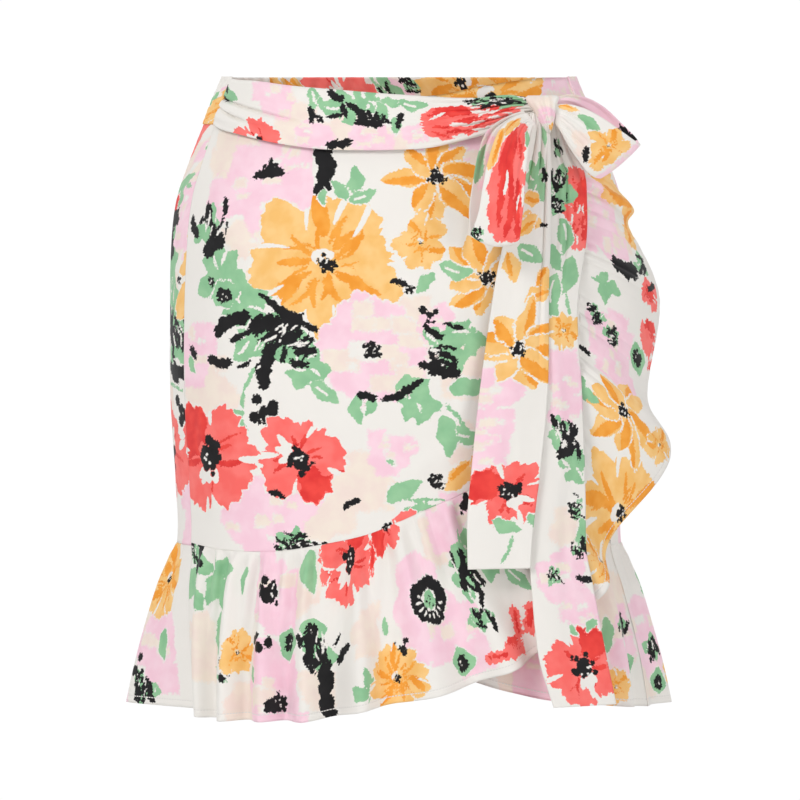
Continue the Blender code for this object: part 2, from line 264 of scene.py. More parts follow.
def poppy(printing, x, y, radius, turn, seed, petals=4):
    """A coral poppy: four broad notched petals, one of them deep red, and a wide black middle."""
    spot = Spot(printing, x, y, radius * 1.5, seed)
    roll = spot.dice.uniform
    turn = math.radians(turn)
    bent = spot.theta - turn + 0.22 * np.sin(2 * spot.theta + seed)
    notch = np.abs(np.cos(petals / 2 * bent)) ** 0.45
    rough = spot.wobble(0.1) + spot.wobble(0.1, (15, 19, 27, 33, 47))
    body = radius * (0.66 + 0.34 * notch + rough) - spot.rho
    spot.clear(body, 1.0)
    spot.lay("coral", body)
    deep_petal = turn + spot.dice.integers(petals) * TAU / petals
    uneven = spot.wobble(0.12, (1, 2, 3), spot.rho / radius * 4)
    deep = (TAU / petals * 0.4 + uneven - np.abs(turned(spot.theta, deep_petal))) * spot.rho
    spot.lay("red", deep, body - 0.8, spot.rho - radius * 0.3)
    for k in range(petals):
        for _ in range(2):
            way = turn + k * TAU / petals + roll(-0.6, 0.6)
            broad = radius * roll(0.05, 0.13)
            base = spot.stroke(way, radius * 0.2, radius * roll(0.5, 0.85), broad, roll(-0.4, 0.4))
            spot.lay("red", base, body - 0.5)
        gap = turn + (k + 0.5) * TAU / petals - 0.11 * np.sin(2 * turn + seed) + roll(-0.12, 0.12)
        inner = radius * roll(0.4, 0.7)
        thin = spot.stroke(gap, inner, radius * 1.3, radius * roll(0.1, 0.17), roll(-0.3, 0.3))
        spot.lay("white", thin, body + 0.6)
    bright = deep_petal + math.pi + roll(-0.9, 0.9)
    for k in range(5):
        reach = radius * roll(0.42, 0.78)
        glint = spot.stroke(bright + 0.24 * (k - 2), radius * 0.18, reach, radius * 0.17, roll(-0.2, 0.2))
        spot.lay("white", glint, body - 0.5)
    heart(printing, x, y, radius * 0.33, 0, spot.dice)


def daisy(printing, x, y, radius, turn, seed, petals=9):
    """A golden daisy: long separate petals, light with deeper tips or sides, round a small dark middle."""
    spot = Spot(printing, x, y, radius * 1.4, seed)
    roll = spot.dice.uniform
    for k in range(petals):
        way = math.radians(turn) + (k + roll(-0.22, 0.22)) * TAU / petals
        reach, bend, width = radius * roll(0.72, 1.18), roll(-0.3, 0.3), radius * roll(0.34, 0.54)
        along = np.clip((spot.rho - radius * 0.12) / (reach - radius * 0.12), 0, 1)
        half_width = width / 2 * np.sin(math.pi * along**0.8) ** 0.6
        aside = turned(spot.theta, way + bend * along) * spot.rho
        uneven = spot.wobble(0.06, (1, 2, 3), along * 5 + np.sign(aside)) * width
        blade = least(half_width + uneven - np.abs(aside), reach - spot.rho, spot.rho - radius * 0.1)
        spot.clear(blade, 1.5)
        spot.lay("amber", blade)
        if roll() < 0.75:
            side = spot.dice.choice((-1, 1)) * width * 0.2
            deep = half_width * 0.6 - np.abs(aside - side) - 1.4 * (1 - along)
            spot.lay("orange", deep, blade - 0.2)
    heart(printing, x, y, radius * 0.17, 0, spot.dice)


def bloom(printing, x, y, radius, turn, seed, petals=9, middle=0.13):
    """A full open flower of light amber petals, with orange strokes from its middle and along some petals."""
    spot = Spot(printing, x, y, radius * 1.5, seed)
    roll = spot.dice.uniform
    turn = math.radians(turn)
    lobe = np.abs(np.cos(petals / 2 * (spot.theta - turn) + 0.5 * np.cos(spot.theta + seed))) ** 0.5
    rough = spot.wobble(0.13) + spot.wobble(0.08, (19, 27, 31, 47, 61))
    body = radius * (0.78 + 0.19 * lobe + rough) - spot.rho
    spot.clear(body, 1.0)
    spot.lay("amber", body)
    for k in range(petals):
        way = turn + k * TAU / petals
        for _ in range(2):
            start, end, narrow = (radius * roll(*span) for span in ((0.1, 0.25), (0.4, 0.85), (0.05, 0.13)))
            deep = spot.stroke(way + roll(-0.35, 0.35), start, end, narrow, roll(-0.5, 0.5))
            spot.lay("orange", deep, body - 0.2)
        if k % 3 == 0:
            broad = radius * roll(0.18, 0.3)
            side = spot.stroke(way + roll(0.1, 0.3), radius * 0.35, radius * 1.05, broad, roll(-0.5, 0.5))
            spot.lay("orange", side, body + 0.2)
        gap = turn + (k + 0.5) * TAU / petals - 0.1 * math.cos(turn + seed) + roll(-0.12, 0.12)
        inner, narrow = radius * roll(0.45, 0.8), radius * roll(0.05, 0.09) + 0.8
        thin = spot.stroke(gap, inner, radius * 1.3, narrow, roll(-0.4, 0.4))
        spot.lay("white", thin, body + 0.6)
    for _ in range(14):
        way, start = roll(0, TAU), radius * roll(0.12, 0.22)
        spot.lay("orange", spot.stroke(way, start, start + radius * roll(0.08, 0.24), 1.9, roll(-0.3, 0.3)))
    for k in range(3):
        size = radius * (middle * 0.75 - 0.02 * k)
        spot.lay("white", spot.dab(turn + 3.6 + 0.6 * k, radius * middle, size))
    heart(printing, x, y, radius * middle, 0, spot.dice)


def blocks(spot, radius, ink, count, within):
    """Broad square-ended strokes of one soft ink, or bare ones, inside a patch of another."""
    roll = spot.dice.uniform
    for _ in range(count):
        way, far = roll(0, TAU), radius * roll(0.1, 0.8)
        aside, below = np.abs(spot.x - far * math.cos(way)), np.abs(spot.y - far * math.sin(way))
        half_width, half_height = radius * roll(0.14, 0.36), radius * roll(0.08, 0.2)
        block = least(half_width - aside, half_height - below, within)
        spot.cut("pink", block)
        spot.cut("peach", block)
        if ink:
            spot.lay(ink, block)


def wash(printing, x, y, radius, turn, seed, ink):
    """A soft patch of thin colour under the flowers, in broad square-ended strokes."""
    spot = Spot(printing, x, y, radius * 1.7, seed)
    roll = spot.dice.uniform
    patch = radius * (0.84 + spot.wobble(0.12, (2, 3, 5, 8))) - spot.rho
    for _ in range(5):
        aside, below = spot.x + roll(-0.6, 0.6) * radius, spot.y + roll(-0.8, 0.8) * radius
        half_width, half_height = radius * roll(0.3, 0.6), radius * roll(0.2, 0.45)
        patch = np.maximum(patch, least(half_width - np.abs(aside), half_height - np.abs(below)))
    spot.lay(ink, patch)
    if ink == "pink":
        blocks(spot, radius, "peach", 3, patch)
        blocks(spot, radius * 0.6, None, 1, patch)


def pink_bloom(printing, x, y, radius, turn, seed):
    """A wide pale flower, pink and cream in square dabs, round a black middle."""
    spot = Spot(printing, x, y, radius * 1.4, seed)
    body = radius * (0.93 + spot.wobble(0.07) + spot.wobble(0.08, (15, 21, 33, 47))) - spot.rho
    spot.clear(body, 0.8)
    spot.lay("pink", body)
    blocks(spot, radius, "peach", 11, body)
    blocks(spot, radius * 0.6, None, 5, body)
    heart(printing, x, y, radius * 0.17, 0, spot.dice)


def leaf(printing, x, y, length, turn, seed, ink="green", slim=0.46, alone=True):
    """A leaf from its stalk at x, y: a bent pointed blade, fuller on one side, with a lobe or two."""
    spot = Spot(printing, x, y, length * 1.15, seed)
    roll = spot.dice.uniform
    local = turned(spot.theta, math.radians(turn))
    along, aside = spot.rho * np.cos(local), spot.rho * np.sin(local)
    share = np.clip(along / length, 0, 1)
    aside = aside - roll(-0.14, 0.14) * length * np.sin(math.pi * share)
    lobes = 1 + 0.16 * np.sin(share * roll(8, 13) + np.sign(aside) * 1.3 + seed)
    half_width = length * slim / 2 * np.sin(math.pi * share**0.8) ** 0.75 * lobes
    blade = least(half_width - np.abs(aside), along, length - along)
    if alone:
        spot.clear(blade, 0.9)
    spot.lay(ink, blade)
    if alone and length * slim > 8 and seed % 3 == 0:
        spot.lay("white", 0.9 - np.abs(aside), along - 0.15 * length, 0.6 * length - along)


def sprig(printing, x, y, size, turn, seed):
    """Four leaves on one bent stalk."""
    dice = np.random.default_rng(seed)
    stalk, way = size * 1.5, math.radians(turn)
    leaf(printing, x, y, stalk, turn, seed, slim=2.8 / stalk, alone=False)
    for k, side in enumerate((-55, 50, -10, 85)):
        far, blade = size * (0.25 + 0.22 * k), size * dice.uniform(0.65, 1.0)
        at = x + far * math.cos(way), y + far * math.sin(way)
        leaf(printing, *at, blade, turn + side, seed + k + 1, slim=dice.uniform(0.45, 0.7), alone=False)


def foliage(printing, x, y, size, turn, seed):
    """A mass of lobed leaves, brushed outwards from one place, with a few bare slits left in it."""
    spot = Spot(printing, x, y, size, seed)
    roll = spot.dice.uniform
    for k in range(6):
        way = turn + k * 60 + roll(-20, 20)
        leaf(printing, x, y, size * roll(0.75, 1.2), way, seed + k, slim=roll(0.6, 0.9), alone=False)
    spot.lay("green", size * (0.4 + spot.wobble(0.08)) - spot.rho)
    for _ in range(3):
        spot.cut("green", spot.stroke(roll(0, TAU), size * 0.15, size * roll(0.6, 1.0), 2.6, 0.4))


def slash(printing, x, y, length, turn, seed, ink="black", width=0.3, thick=None):
    """One full brush stroke with bristled ends and lumpy sides, its middle at x, y. Its width is a share of
    its length, or it is this many millimetres thick."""
    width = thick / length if thick else width
    spot = Spot(printing, x, y, length * 0.75, seed)
    local = spot.theta - math.radians(turn)
    along, aside = spot.rho * np.cos(local) / (length / 2), spot.rho * np.sin(local)
    aside = aside - spot.dice.uniform(-0.12, 0.12) * length * (1 - along**2)
    lumpy = 1 + spot.wobble(0.1 + 0.02 / width, (1, 2, 3, 5), along * 5 + np.sign(aside))
    half_width = length * width / 2 * np.clip(1 - np.abs(along) ** 4, 0, 1) ** 0.5 * lumpy
    bristles = 1.5 * np.cos(2.6 * aside + seed) + 1.1 * np.cos(1.5 * aside + 2 * seed) - 0.8
    from_end = (1 - np.abs(along)) * length / 2 + min(1, length / 16) * bristles
    inked = least(half_width - np.abs(aside), from_end)
    if ink == "black":
        spot.cut("white", inked)
    spot.lay(ink, inked)


def brushwork(printing, x, y, size, turn, seed):
    """Spiky black strokes, most of them the same way, over a little green, with bare nicks between them."""
    dice = np.random.default_rng(seed)
    roll, spread = dice.uniform, dice.normal
    for k in range(4):
        way = turn + 90 * k + roll(-40, 40)
        leaf(printing, x, y, size * roll(0.6, 1.0), way, seed + k, slim=0.7, alone=False)
    for k in range(10):
        at = x + spread(0, 0.32) * size, y + spread(0, 0.32) * size
        way = turn + spread(0, 24)
        slash(printing, *at, size * roll(0.45, 1.1), way, seed + k, width=roll(0.17, 0.36))
    for k in range(6):
        at = x + spread(0, 0.28) * size, y + spread(0, 0.28) * size
        slash(printing, *at, size * roll(0.3, 0.6), turn + spread(0, 18), seed + 30 + k, "white", 0.15)


def flecks(printing, x, y, size, turn, seed):
    """A few loose black dabs."""
    spot = Spot(printing, x, y, size * 1.6, seed)
    roll = spot.dice.uniform
    for _ in range(7):
        spot.lay("black", spot.dab(roll(0, TAU), size * roll(0.05, 0.75), size * roll(0.14, 0.34)))


def red_lick(printing, x, y, length, turn, seed):
    """A loose coral petal with deeper red along it."""
    slash(printing, x, y, length, turn, seed, "coral", 0.34)
    slash(printing, x, y, length * 0.8, turn + 6, seed + 1, "red", 0.13)


# Strokes along a coral petal: how many, how far along it, how far to either side, their lengths as shares of
# its own, the spread of their ways, ink and width
PETAL_STROKES = (
    (5, (-0.36, 0.36), 1.1, (0.16, 0.34), 22, "red", 0.2),
    (3, (0.22, 0.5), 1.6, (0.18, 0.3), 14, "white", 0.18),
)


def coral_petal(printing, x, y, length, turn, seed):
    """One broad coral petal, deep red on one side, with fine red strokes and bare nicks along it."""
    dice = np.random.default_rng(seed)
    cosine, sine = math.cos(math.radians(turn)), math.sin(math.radians(turn))
    side_x, side_y = -sine * length * 0.13, cosine * length * 0.13
    slash(printing, x, y, length, turn, seed, "coral", 0.6)
    slash(printing, x - side_x, y - side_y, length * 0.62, turn + 8, seed + 1, "red", 0.36)
    for count, reach, apart, sizes, spread, ink, width in PETAL_STROKES:
        for k in range(count):
            far, side = dice.uniform(*reach) * length, dice.uniform(-apart, apart)
            at = x + far * cosine + side * side_x, y + far * sine + side * side_y
            size, way = length * dice.uniform(*sizes), turn + dice.normal(0, spread)
            slash(printing, *at, size, way, seed + k, ink, width)


def petal(printing, x, y, length, turn, seed):
    """A loose amber petal with an orange stroke along it."""
    leaf(printing, x, y, length, turn, seed, ink="amber", slim=0.55)
    leaf(printing, x, y, length * 0.8, turn + 5, seed + 1, ink="orange", slim=0.2, alone=False)


def amber_stroke(printing, x, y, length, turn, seed):
    """A wide amber stroke, orange along one side."""
    slash(printing, x, y, length, turn, seed, "amber", 0.62)
    slash(printing, x, y - length * 0.08, length * 0.8, turn + 5, seed + 1, "orange", 0.2)


def bud(printing, x, y, size, turn, seed):
    """A black bud in a green calyx."""
    way = math.radians(turn)
    at = x + 0.9 * size * math.cos(way), y + 0.9 * size * math.sin(way)
    leaf(printing, x, y, size * 2.1, turn, seed, slim=0.85)
    slash(printing, *at, size * 1.3, turn + 8, seed, width=0.62)
    heart(printing, *at, size * 0.5, turn, seed)


def dark_ring(printing, x, y, radius, turn, seed):
    """The middle of a pink flower: a wide ragged black ring, rayed with bare lines, round green."""
    spot = Spot(printing, x, y, radius * 1.6, seed)
    roll = spot.dice.uniform
    ragged = spot.wobble(0.08, (2, 3, 5)) + spot.wobble(0.06, (13, 17, 23)) + spot.wobble(0.05, (9, 29))
    ring = radius * (0.95 + ragged) - spot.rho
    spot.clear(ring, 0.4)
    spot.lay("black", ring, spot.rho - radius * (0.42 + spot.wobble(0.06, (3, 5, 9))))
    spot.lay("green", radius * (0.36 + spot.wobble(0.06, (3, 5, 9))) - spot.rho)
    for k in range(9):
        way, start = math.radians(turn) + 0.4 * k, radius * roll(0.42, 0.52)
        spot.lay("white", spot.stroke(way, start, radius * roll(0.68, 0.86), 2.2))
    for _ in range(5):
        spot.lay("black", spot.dab(roll(0, TAU), radius * roll(0.05, 0.3), 1.1))


small_bloom = partial(bloom, petals=5, middle=0.1)
pink_wash = partial(wash, ink="pink")
peach_wash = partial(wash, ink="peach")
slab = partial(slash, width=0.44)
green_line = partial(slash, ink="green", thick=2.6)
dark_line = partial(slash, thick=5.6)
white_nick = partial(slash, ink="white", width=0.16)


def motifs(seed, *table):
    """The rows of a print. After each kind come its motifs: millimetres across and down, size, and turn where
    there is one. Their seeds count up from this one, but for those that say their own last."""
    rows = []
    for item in table:
        if callable(item):
            kind = item
            continue
        x, y, size, *given = item
        turn, own = (*given, *(0, seed)[len(given):])
        rows.append((kind, x, y, size, turn, own))
        seed = own + 1
    return tuple(rows)


# The main repeat of the print, as it lies on the outer front, from the centre front and the waist
REPEAT = motifs(
    1,
    pink_wash, (-104, 62, 36), (-84, 96, 32), (-128, 86, 22),
    peach_wash, (-134, 62, 20),
    pink_wash, (-78, 70, 18),
    peach_wash, (-112, 118, 15),
    pink_wash, (42, 60, 28),
    peach_wash, (50, 78, 14),
    pink_wash, (-98, 316, 30), (-76, 300, 24),
    peach_wash, (-50, 304, 28), (-24, 290, 22),
    pink_wash, (-8, 268, 15), (6, 262, 8),
    leaf, (-8, 270, 7, 40),
    pink_wash, (-152, 196, 22),
    peach_wash, (-146, 224, 24), (-124, 232, 16), (4, 180, 22),
    pink_wash, (26, 176, 14),
    peach_wash, (52, 212, 20),
    pink_wash, (40, 322, 24),
    peach_wash, (46, 262, 18),
    heart, (-98, 70, 7),
    slash, (-99, 74, 24, -8),
    brushwork, (-144, 108, 20, 78),
    slab, (-135, 122, 25, -32),
    foliage, (-126, 142, 24, 15), (-108, 166, 20, 50),
    peach_wash, (-109, 153, 10),
    heart, (-136, 148, 4),
    bud, (-134, 160, 11, -10),
    flecks, (-99, 147, 7),
    foliage, (-94, 184, 19), (-70, 192, 15, 20),
    slash, (-118, 178, 34, -24),
    brushwork, (-100, 188, 28, -28), (-80, 186, 24, -36),
    slash, (-92, 208, 32, 100), (-128, 203, 24, 8),
    brushwork, (-66, 194, 18, -20),
    bloom, (-50, 136, 53, 20),
    dark_line, (-75, 169, 54, 32),
    slash, (-54, 70, 42, 90), (-51, 62, 24, 84),
    leaf, (-51, 84, 12, 92),
    pink_bloom, (-18, 196, 40, 10),
    daisy, (26, 76, 37, 100),
    small_bloom, (15, 121, 19, 30),
    daisy, (60, 146, 36, 15),
    leaf, (28, 136, 24, 12), (24, 142, 19, 130),
    slash, (0, 150, 14, 20),
    flecks, (8, 153, 5, 15),
    leaf, (-33, 93, 26, -84), (-35, 92, 18, -130), (-34, 92, 20, -20),
    flecks, (22, 170, 9, 70),
    foliage, (44, 188, 17),
    brushwork, (31, 192, 23, 8),
    slash, (31, 211, 25, 6),
    foliage, (-62, 208, 15),
    leaf, (-60, 218, 24, 35), (-28, 226, 21, 85), (-18, 226, 16, 110),
    sprig, (-2, 226, 22, 20),
    foliage, (10, 230, 17),
    leaf, (34, 222, 28, -5), (33, 252, 26, 10), (30, 240, 30, 82),
    green_line, (42, 250, 44, 60),
    dark_line, (2, 222, 34, -28), (-22, 227, 16, 12),
    green_line, (-104, 222, 34, 110),
    flecks, (-95, 238, 13),
    heart, (-92, 242, 6),
    leaf, (-130, 246, 24, -20), (-114, 240, 24, 80),
    poppy, (-139, 270, 41, 40), (-68, 271, 31, 60),
    slash, (-84, 295, 14, 20),
    brushwork, (-66, 328, 17), (-78, 330, 11, 60, 82),
    leaf, (-8, 300, 28, -32), (2, 308, 26, -12),
    slash, (-32, 302, 15, -30),
    slab, (0, 316, 24, -15),
    poppy, (6, 326, 18),
    petal, (48, 272, 26, 130), (50, 268, 16, 60),
    heart, (25, 286, 6),
    flecks, (26, 284, 7, 60),
    green_line, (18, 298, 30),
    leaf, (-160, 200, 14, 60),
    slab, (-156, 198, 13, 50),
)


def repeated(rows, steps, turn):
    """The same motifs again at each of these steps across and down, with other seeds."""
    return tuple(
        (kind, x + across, y + down, size, bearing + turn * n, seed + 100 * (n + 1))
        for n, (across, down) in enumerate(steps)
        for kind, x, y, size, bearing, seed in rows
    )


class Shading:
    """A node tree, and ways to add to it. Each input takes a value or another node's output."""

    def __init__(self, tree):
        self.tree = tree

    def node(self, kind, inputs, **settings):
        made = self.tree.nodes.new("ShaderNode" + kind)
        for key, value in settings.items():
            setattr(made, key, value)
        for key, value in inputs.items():
            self.put(made.inputs[key], value)
        return made.outputs

    def put(self, socket, value):
        if isinstance(value, bpy.types.NodeSocket):
            self.tree.links.new(value, socket)
        else:
            socket.default_value = value

    def math(self, operation, *values):
        return self.node("Math", dict(enumerate(values)), operation=operation)[0]

    def mix(self, factor, under, over):
        return self.node("Mix", {"Factor": factor, "A": under, "B": over}, data_type="RGBA")["Result"]

    def remap(self, value, start, end, low=0.0, high=1.0, shape="SMOOTHSTEP"):
        limits = {"From Min": start, "From Max": end, "To Min": low, "To Max": high}
        return self.node("MapRange", {"Value": value, **limits}, interpolation_type=shape)["Result"]

    def noise(self, place, scale, detail, offset=(0, 0, 0)):
        moved = self.node("Mapping", {"Vector": place, "Location": offset})[0]
        return self.node("TexNoise", {"Vector": moved, "Scale": scale, "Detail": detail})

    def channels(self, place, scale, detail, offset=(0, 0, 0)):
        return self.node("SeparateColor", {0: self.noise(place, scale, detail, offset)["Color"]})


def linear(red, green, blue):
    """A colour given as seen on paper, from 0 to 255, as the shader wants it."""
    return tuple((value / 255) ** 2.2 for value in (red, green, blue)) + (1.0,)


# Crepe viscose with the print on it: inked from the fields, with ragged ink edges, and a fine weave
STITCHES_UP = 5.0
STITCH = 2.4
STITCH_SHARE = 0.72
THREAD_HALF = 0.33
WARP = 0.55
WEFT = 0.6

printed_crepe = bpy.data.materials.new("printed_crepe_skirt")
printed_crepe.use_nodes = True
shader = printed_crepe.node_tree.nodes["Principled BSDF"]
shader.inputs["Roughness"].default_value = 0.72
shader.inputs["Specular IOR Level"].default_value = 0.25
shader.inputs["Sheen Weight"].default_value = 0.12
shader.inputs["Sheen Roughness"].default_value = 0.5

shade = Shading(printed_crepe.node_tree)
cut = shade.node("Attribute", {}, attribute_name="cut")["Vector"]
ragged = shade.channels(cut, 0.62, 3)
wavering = shade.channels(cut, 0.16, 1, (40, 7, 0))
pooling = shade.channels(cut, 0.075, 2.5, (9, 60, 0))
colour = linear(*GROUND)
for ink, (channel, fine, broad, softness, first, second) in INKS.items():
    field = shade.node("Attribute", {}, attribute_name=ink)["Fac"]
    edge = shade.math("MULTIPLY", shade.math("SUBTRACT", ragged[channel], 0.5), 2 * fine)
    waver = shade.math("MULTIPLY", shade.math("SUBTRACT", wavering[(channel + 1) % 3], 0.5), broad)
    uneven = shade.math("ADD", shade.math("ADD", field, edge), waver)
    pooled = shade.remap(pooling[channel], 0.38, 0.62, shape="LINEAR")
    tone = shade.mix(pooled, linear(*first), linear(*second))
    colour = shade.mix(shade.remap(uneven, -softness, softness), colour, tone)

# Single stitching above the hem, and the groove it lies in
place = shade.node("SeparateXYZ", {0: cut})
hem = shade.node("Attribute", {}, attribute_name="hem")["Fac"]
off_line = shade.math("ABSOLUTE", shade.math("SUBTRACT", hem, STITCHES_UP))
on_line = shade.math("LESS_THAN", off_line, THREAD_HALF)
in_stitch = shade.math("FRACT", shade.math("DIVIDE", place["X"], STITCH))
thread = shade.math("MULTIPLY", on_line, shade.math("LESS_THAN", in_stitch, STITCH_SHARE))
shade.put(shader.inputs["Base Color"], shade.mix(thread, colour, linear(*THREAD)))
groove = shade.remap(off_line, 0, 1.1, -0.25, 0.0)

# Plain weave of fine crepe yarns, the pebbled crepe grain, and a slight slack
warp = shade.math("SINE", shade.math("MULTIPLY", place["X"], TAU / WARP))
weft = shade.math("SINE", shade.math("MULTIPLY", place["Y"], TAU / WEFT))
weave = shade.math("MULTIPLY", shade.math("MULTIPLY", warp, weft), 0.02)
grain = shade.math("MULTIPLY", shade.noise(cut, 0.9, 3, (3, 11, 0))["Fac"], 0.12)
slack = shade.math("MULTIPLY", shade.noise(cut, 0.045, 2, (70, 3, 0))["Fac"], 1.6)
height = shade.math("ADD", shade.math("ADD", weave, grain), shade.math("ADD", groove, slack))
bump = shade.node("Bump", {"Strength": 0.6, "Distance": MM, "Height": height})
shade.put(shader.inputs["Normal"], bump["Normal"])


NO_HEM = 100.0


def finish_cloth(piece, node_name, across, down, rows, from_hem=None, slot="skirt_cloth"):
    """Prints the piece, notes how far each point lies from a turned hem, and lets it stand for its solid."""
    printing = Print(across, down)
    for kind, *row in rows:
        kind(printing, *row)
    fields = {name: np.clip(field, -FAR, FAR) for name, field in printing.ink.items()}
    fields["hem"] = np.full(across.shape, NO_HEM) if from_hem is None else from_hem
    for name, field in fields.items():
        layer = piece.data.attributes.new(name, "FLOAT", "POINT")
        layer.data.foreach_set("value", field.astype(np.float32))
    layer = piece.data.attributes.new("cut", "FLOAT_VECTOR", "POINT")
    in_cut = np.stack([across, down, np.zeros_like(across)], axis=-1)
    layer.data.foreach_set("vector", in_cut.astype(np.float32).ravel())
    piece.data.materials.append(printed_crepe)
    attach(piece, "root")
    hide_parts(node_name)


def round_back(u):
    """The angle a share u of the way round the back, from the right side seam to the left one."""
    return SIDE_RIGHT + u * (360 + SIDE_LEFT - SIDE_RIGHT)


def back_top(angle):
    return -BACK_RISE * np.cos(np.radians(angle))


def gathered(run, spacing, seed):
    """Uneven gathers: rounded ridges with sharp hollows between them, from -0.6 to 0.4."""
    warped = run + 2.4 * np.sin(run / 13 + seed) + 1.5 * np.sin(run / 5.7 + 2 * seed)
    fine = np.abs(np.cos(math.pi * warped / spacing))
    wide = np.abs(np.cos(math.pi * (warped + 3 * np.sin(run / 31)) / (2.3 * spacing) + seed))
    return 0.55 * fine + 0.45 * wide - 0.6


piece, u, v = cloth("back_panel_cloth", 280, 150)
angle = round_back(u)
top = back_top(angle) - BAND_HEIGHT
level = top + (RUFFLE_SEAM - top) * v
across, down = flat_on_form(angle, level)
fold = BACK_FOLD * np.cos(TAU * BACK_FOLDS * u) * np.sin(math.pi * np.minimum(v * 2.2, 1))
out = UNDER_OUT + fold * ease(u, 0, 0.1) * (1 - ease(u, 0.9, 1))
off_seams = ease(u, 0, 0.02) * (1 - ease(u, 0.98, 1))
out += GATHER_DEPTH * gathered(across, 7.5, 1.0) * np.exp((level - top) / GATHER_FALL) * off_seams
shape_cloth(piece, on_form(angle, level, out), edges_only=True)
REPEATS_BACK = ((112, -228), (342, -222), (0, 0), (250, 40), (500, 0))
REPEAT_LEFT = 165
across = across - across.min() - REPEAT_LEFT
finish_cloth(piece, "back_panel", across, down, repeated(REPEAT, REPEATS_BACK, 20))


# ======== Back waistband ========
# A cased elastic at the back of the waist, from side seam to side seam. Its cloth is drawn up by the elastic
# into fine upright gathers, seen on the inside over the front edge.

BAND_WALL = 1.4
BAND_FULLNESS = 1.2
GATHERS_BACK = 36

BAND_PRINT = motifs(
    101,
    pink_wash, (60, 20, 30),
    peach_wash, (110, 14, 26),
    sprig, (84, 10, 22, 30),
    pink_wash, (16, 16, 24),
    peach_wash, (30, 12, 20, 0, 104),
    bloom, (196, -1, 48), (150, 10, 30, 40),
    pink_wash, (256, 4, 14),
    foliage, (270, 4, 18),
    brushwork, (268, 6, 11, 60), (243, -2, 10),
    poppy, (306, 20, 36, 40),
    pink_wash, (296, 18, 14),
    daisy, (352, 27, 36, 80), (388, 28, 32, 40), (446, 30, 34, 40, 114),
    pink_wash, (540, 18, 28),
    bloom, (556, 16, 38), (596, 16, 36, 0, 116),
    sprig, (506, 10, 20, 60),
)
piece, u, v = cloth("back_waistband_cloth", 500, 26)
angle = round_back(u)
level = back_top(angle) - BAND_HEIGHT * v
across, down = flat_on_form(angle, level)
swell = np.sin(math.pi * v) ** 0.5
out = UNDER_OUT + GATHER_DEPTH * np.cos(TAU * GATHERS_BACK * u) * (0.5 + 0.5 * swell)
out += 0.7 * gathered(across, 5.6, 2.0) * swell
shape_cloth(piece, on_form(angle, level, out), BAND_WALL)
finish_cloth(piece, "back_waistband", (across - across.min()) * BAND_FULLNESS, down, BAND_PRINT)


# ======== Back ruffle ========
# A straight strip of the same cloth, gathered into the seam at the lower edge of the back panel, with a
# turned hem held by one row of stitching.

HEM = -447.0
BACK_SWING = 9.0
BACK_LENGTH = 600
SEAM_TUCK = 1.2
SEAM_DIP = 0.9

# Where the back ruffle is on a crest (whole turns) or in a trough (half turns), by the share of the way round
BACK_WAVES = ((0, 0.5), (0.06, 1), (0.13, 2), (0.5, 7), (0.85, 12), (0.93, 13), (1, 13.5))

# The curved edge of the outer front, from the left side seam to the right waist, and the ruffle sewn to it:
# length along the seam, angle where its line meets the waist, angle and level of the seam,
# angle, level and stand-off of the ruffle's hem, and swing of the ruffle's waves at the hem
WRAP_EDGE = (
    (0, -66, -66, -332, -52.5, -448, -8, 6),
    (38, -48, -46, -335, -41, -451, 2, 8),
    (79, -34, -29.6, -334.5, -26, -450, 5, 8),
    (107, -24, -19, -330.6, -16.5, -449, 6, 8),
    (148, -11, -5.7, -322, -3.5, -440, 6, 9),
    (186, -1, 3.8, -307, 14, -424, 7, 8),
    (225, 8, 15.4, -291, 30, -404, 8, 7),
    (266, 17, 28, -270, 47, -371, 12, 6),
    (308, 25, 38, -240, 63, -323, 19, 9),
    (342, 31, 44, -210, 77, -275, 28, 9),
    (372, 36, 46, -181, 83, -226, 19.5, 4.5),
    (427, 44, 46.5, -126, 88, -158, 19.5, 4),
    (462, 50, 48, -91, 87, -113, 9.5, 4.5),
    (507, 57, 54, -56, 75, -74, 4.5, 1.5),
    (547, 66, 66, -38, 69, -44, 6, 0.5),
)


def broad_gathers(turns, down):
    """Gathers near the seam, two to a wave, that die out down the ruffle."""
    return 2.2 * np.cos(4 * math.pi * turns + 0.8) * ease(down, 0, 0.1) * (1 - ease(down, 0.2, 0.75))


def fall(v):
    """Rows lie closer at the gathered seam than at the hem."""
    return 0.45 * v + 0.55 * v * v


def finish_ruffle(piece, node_name, u, v, grid, points, rows, start=0):
    """Shapes a ruffle, prints it as it lies flat, along its last row and down its columns, from this start
    in the print, and gives its flat length in metres."""
    shape_cloth(piece, points, edges_only=True)
    column, row = (np.rint(share * count).astype(int) for share, count in zip((u, v), grid))
    lattice = np.zeros((grid[1] + 1, grid[0] + 1, 3))
    lattice[row, column] = points
    along = np.append(0, np.cumsum(np.linalg.norm(np.diff(lattice[-1], axis=0), axis=1)))
    falls = np.linalg.norm(np.diff(lattice, axis=0), axis=2)
    depth = np.concatenate([np.zeros((1, grid[0] + 1)), np.cumsum(falls, axis=0)])
    from_hem = (depth[-1] - depth)[row, column]
    finish_cloth(piece, node_name, along[column] + start, depth[row, column], rows, from_hem)
    return along.max() * MM


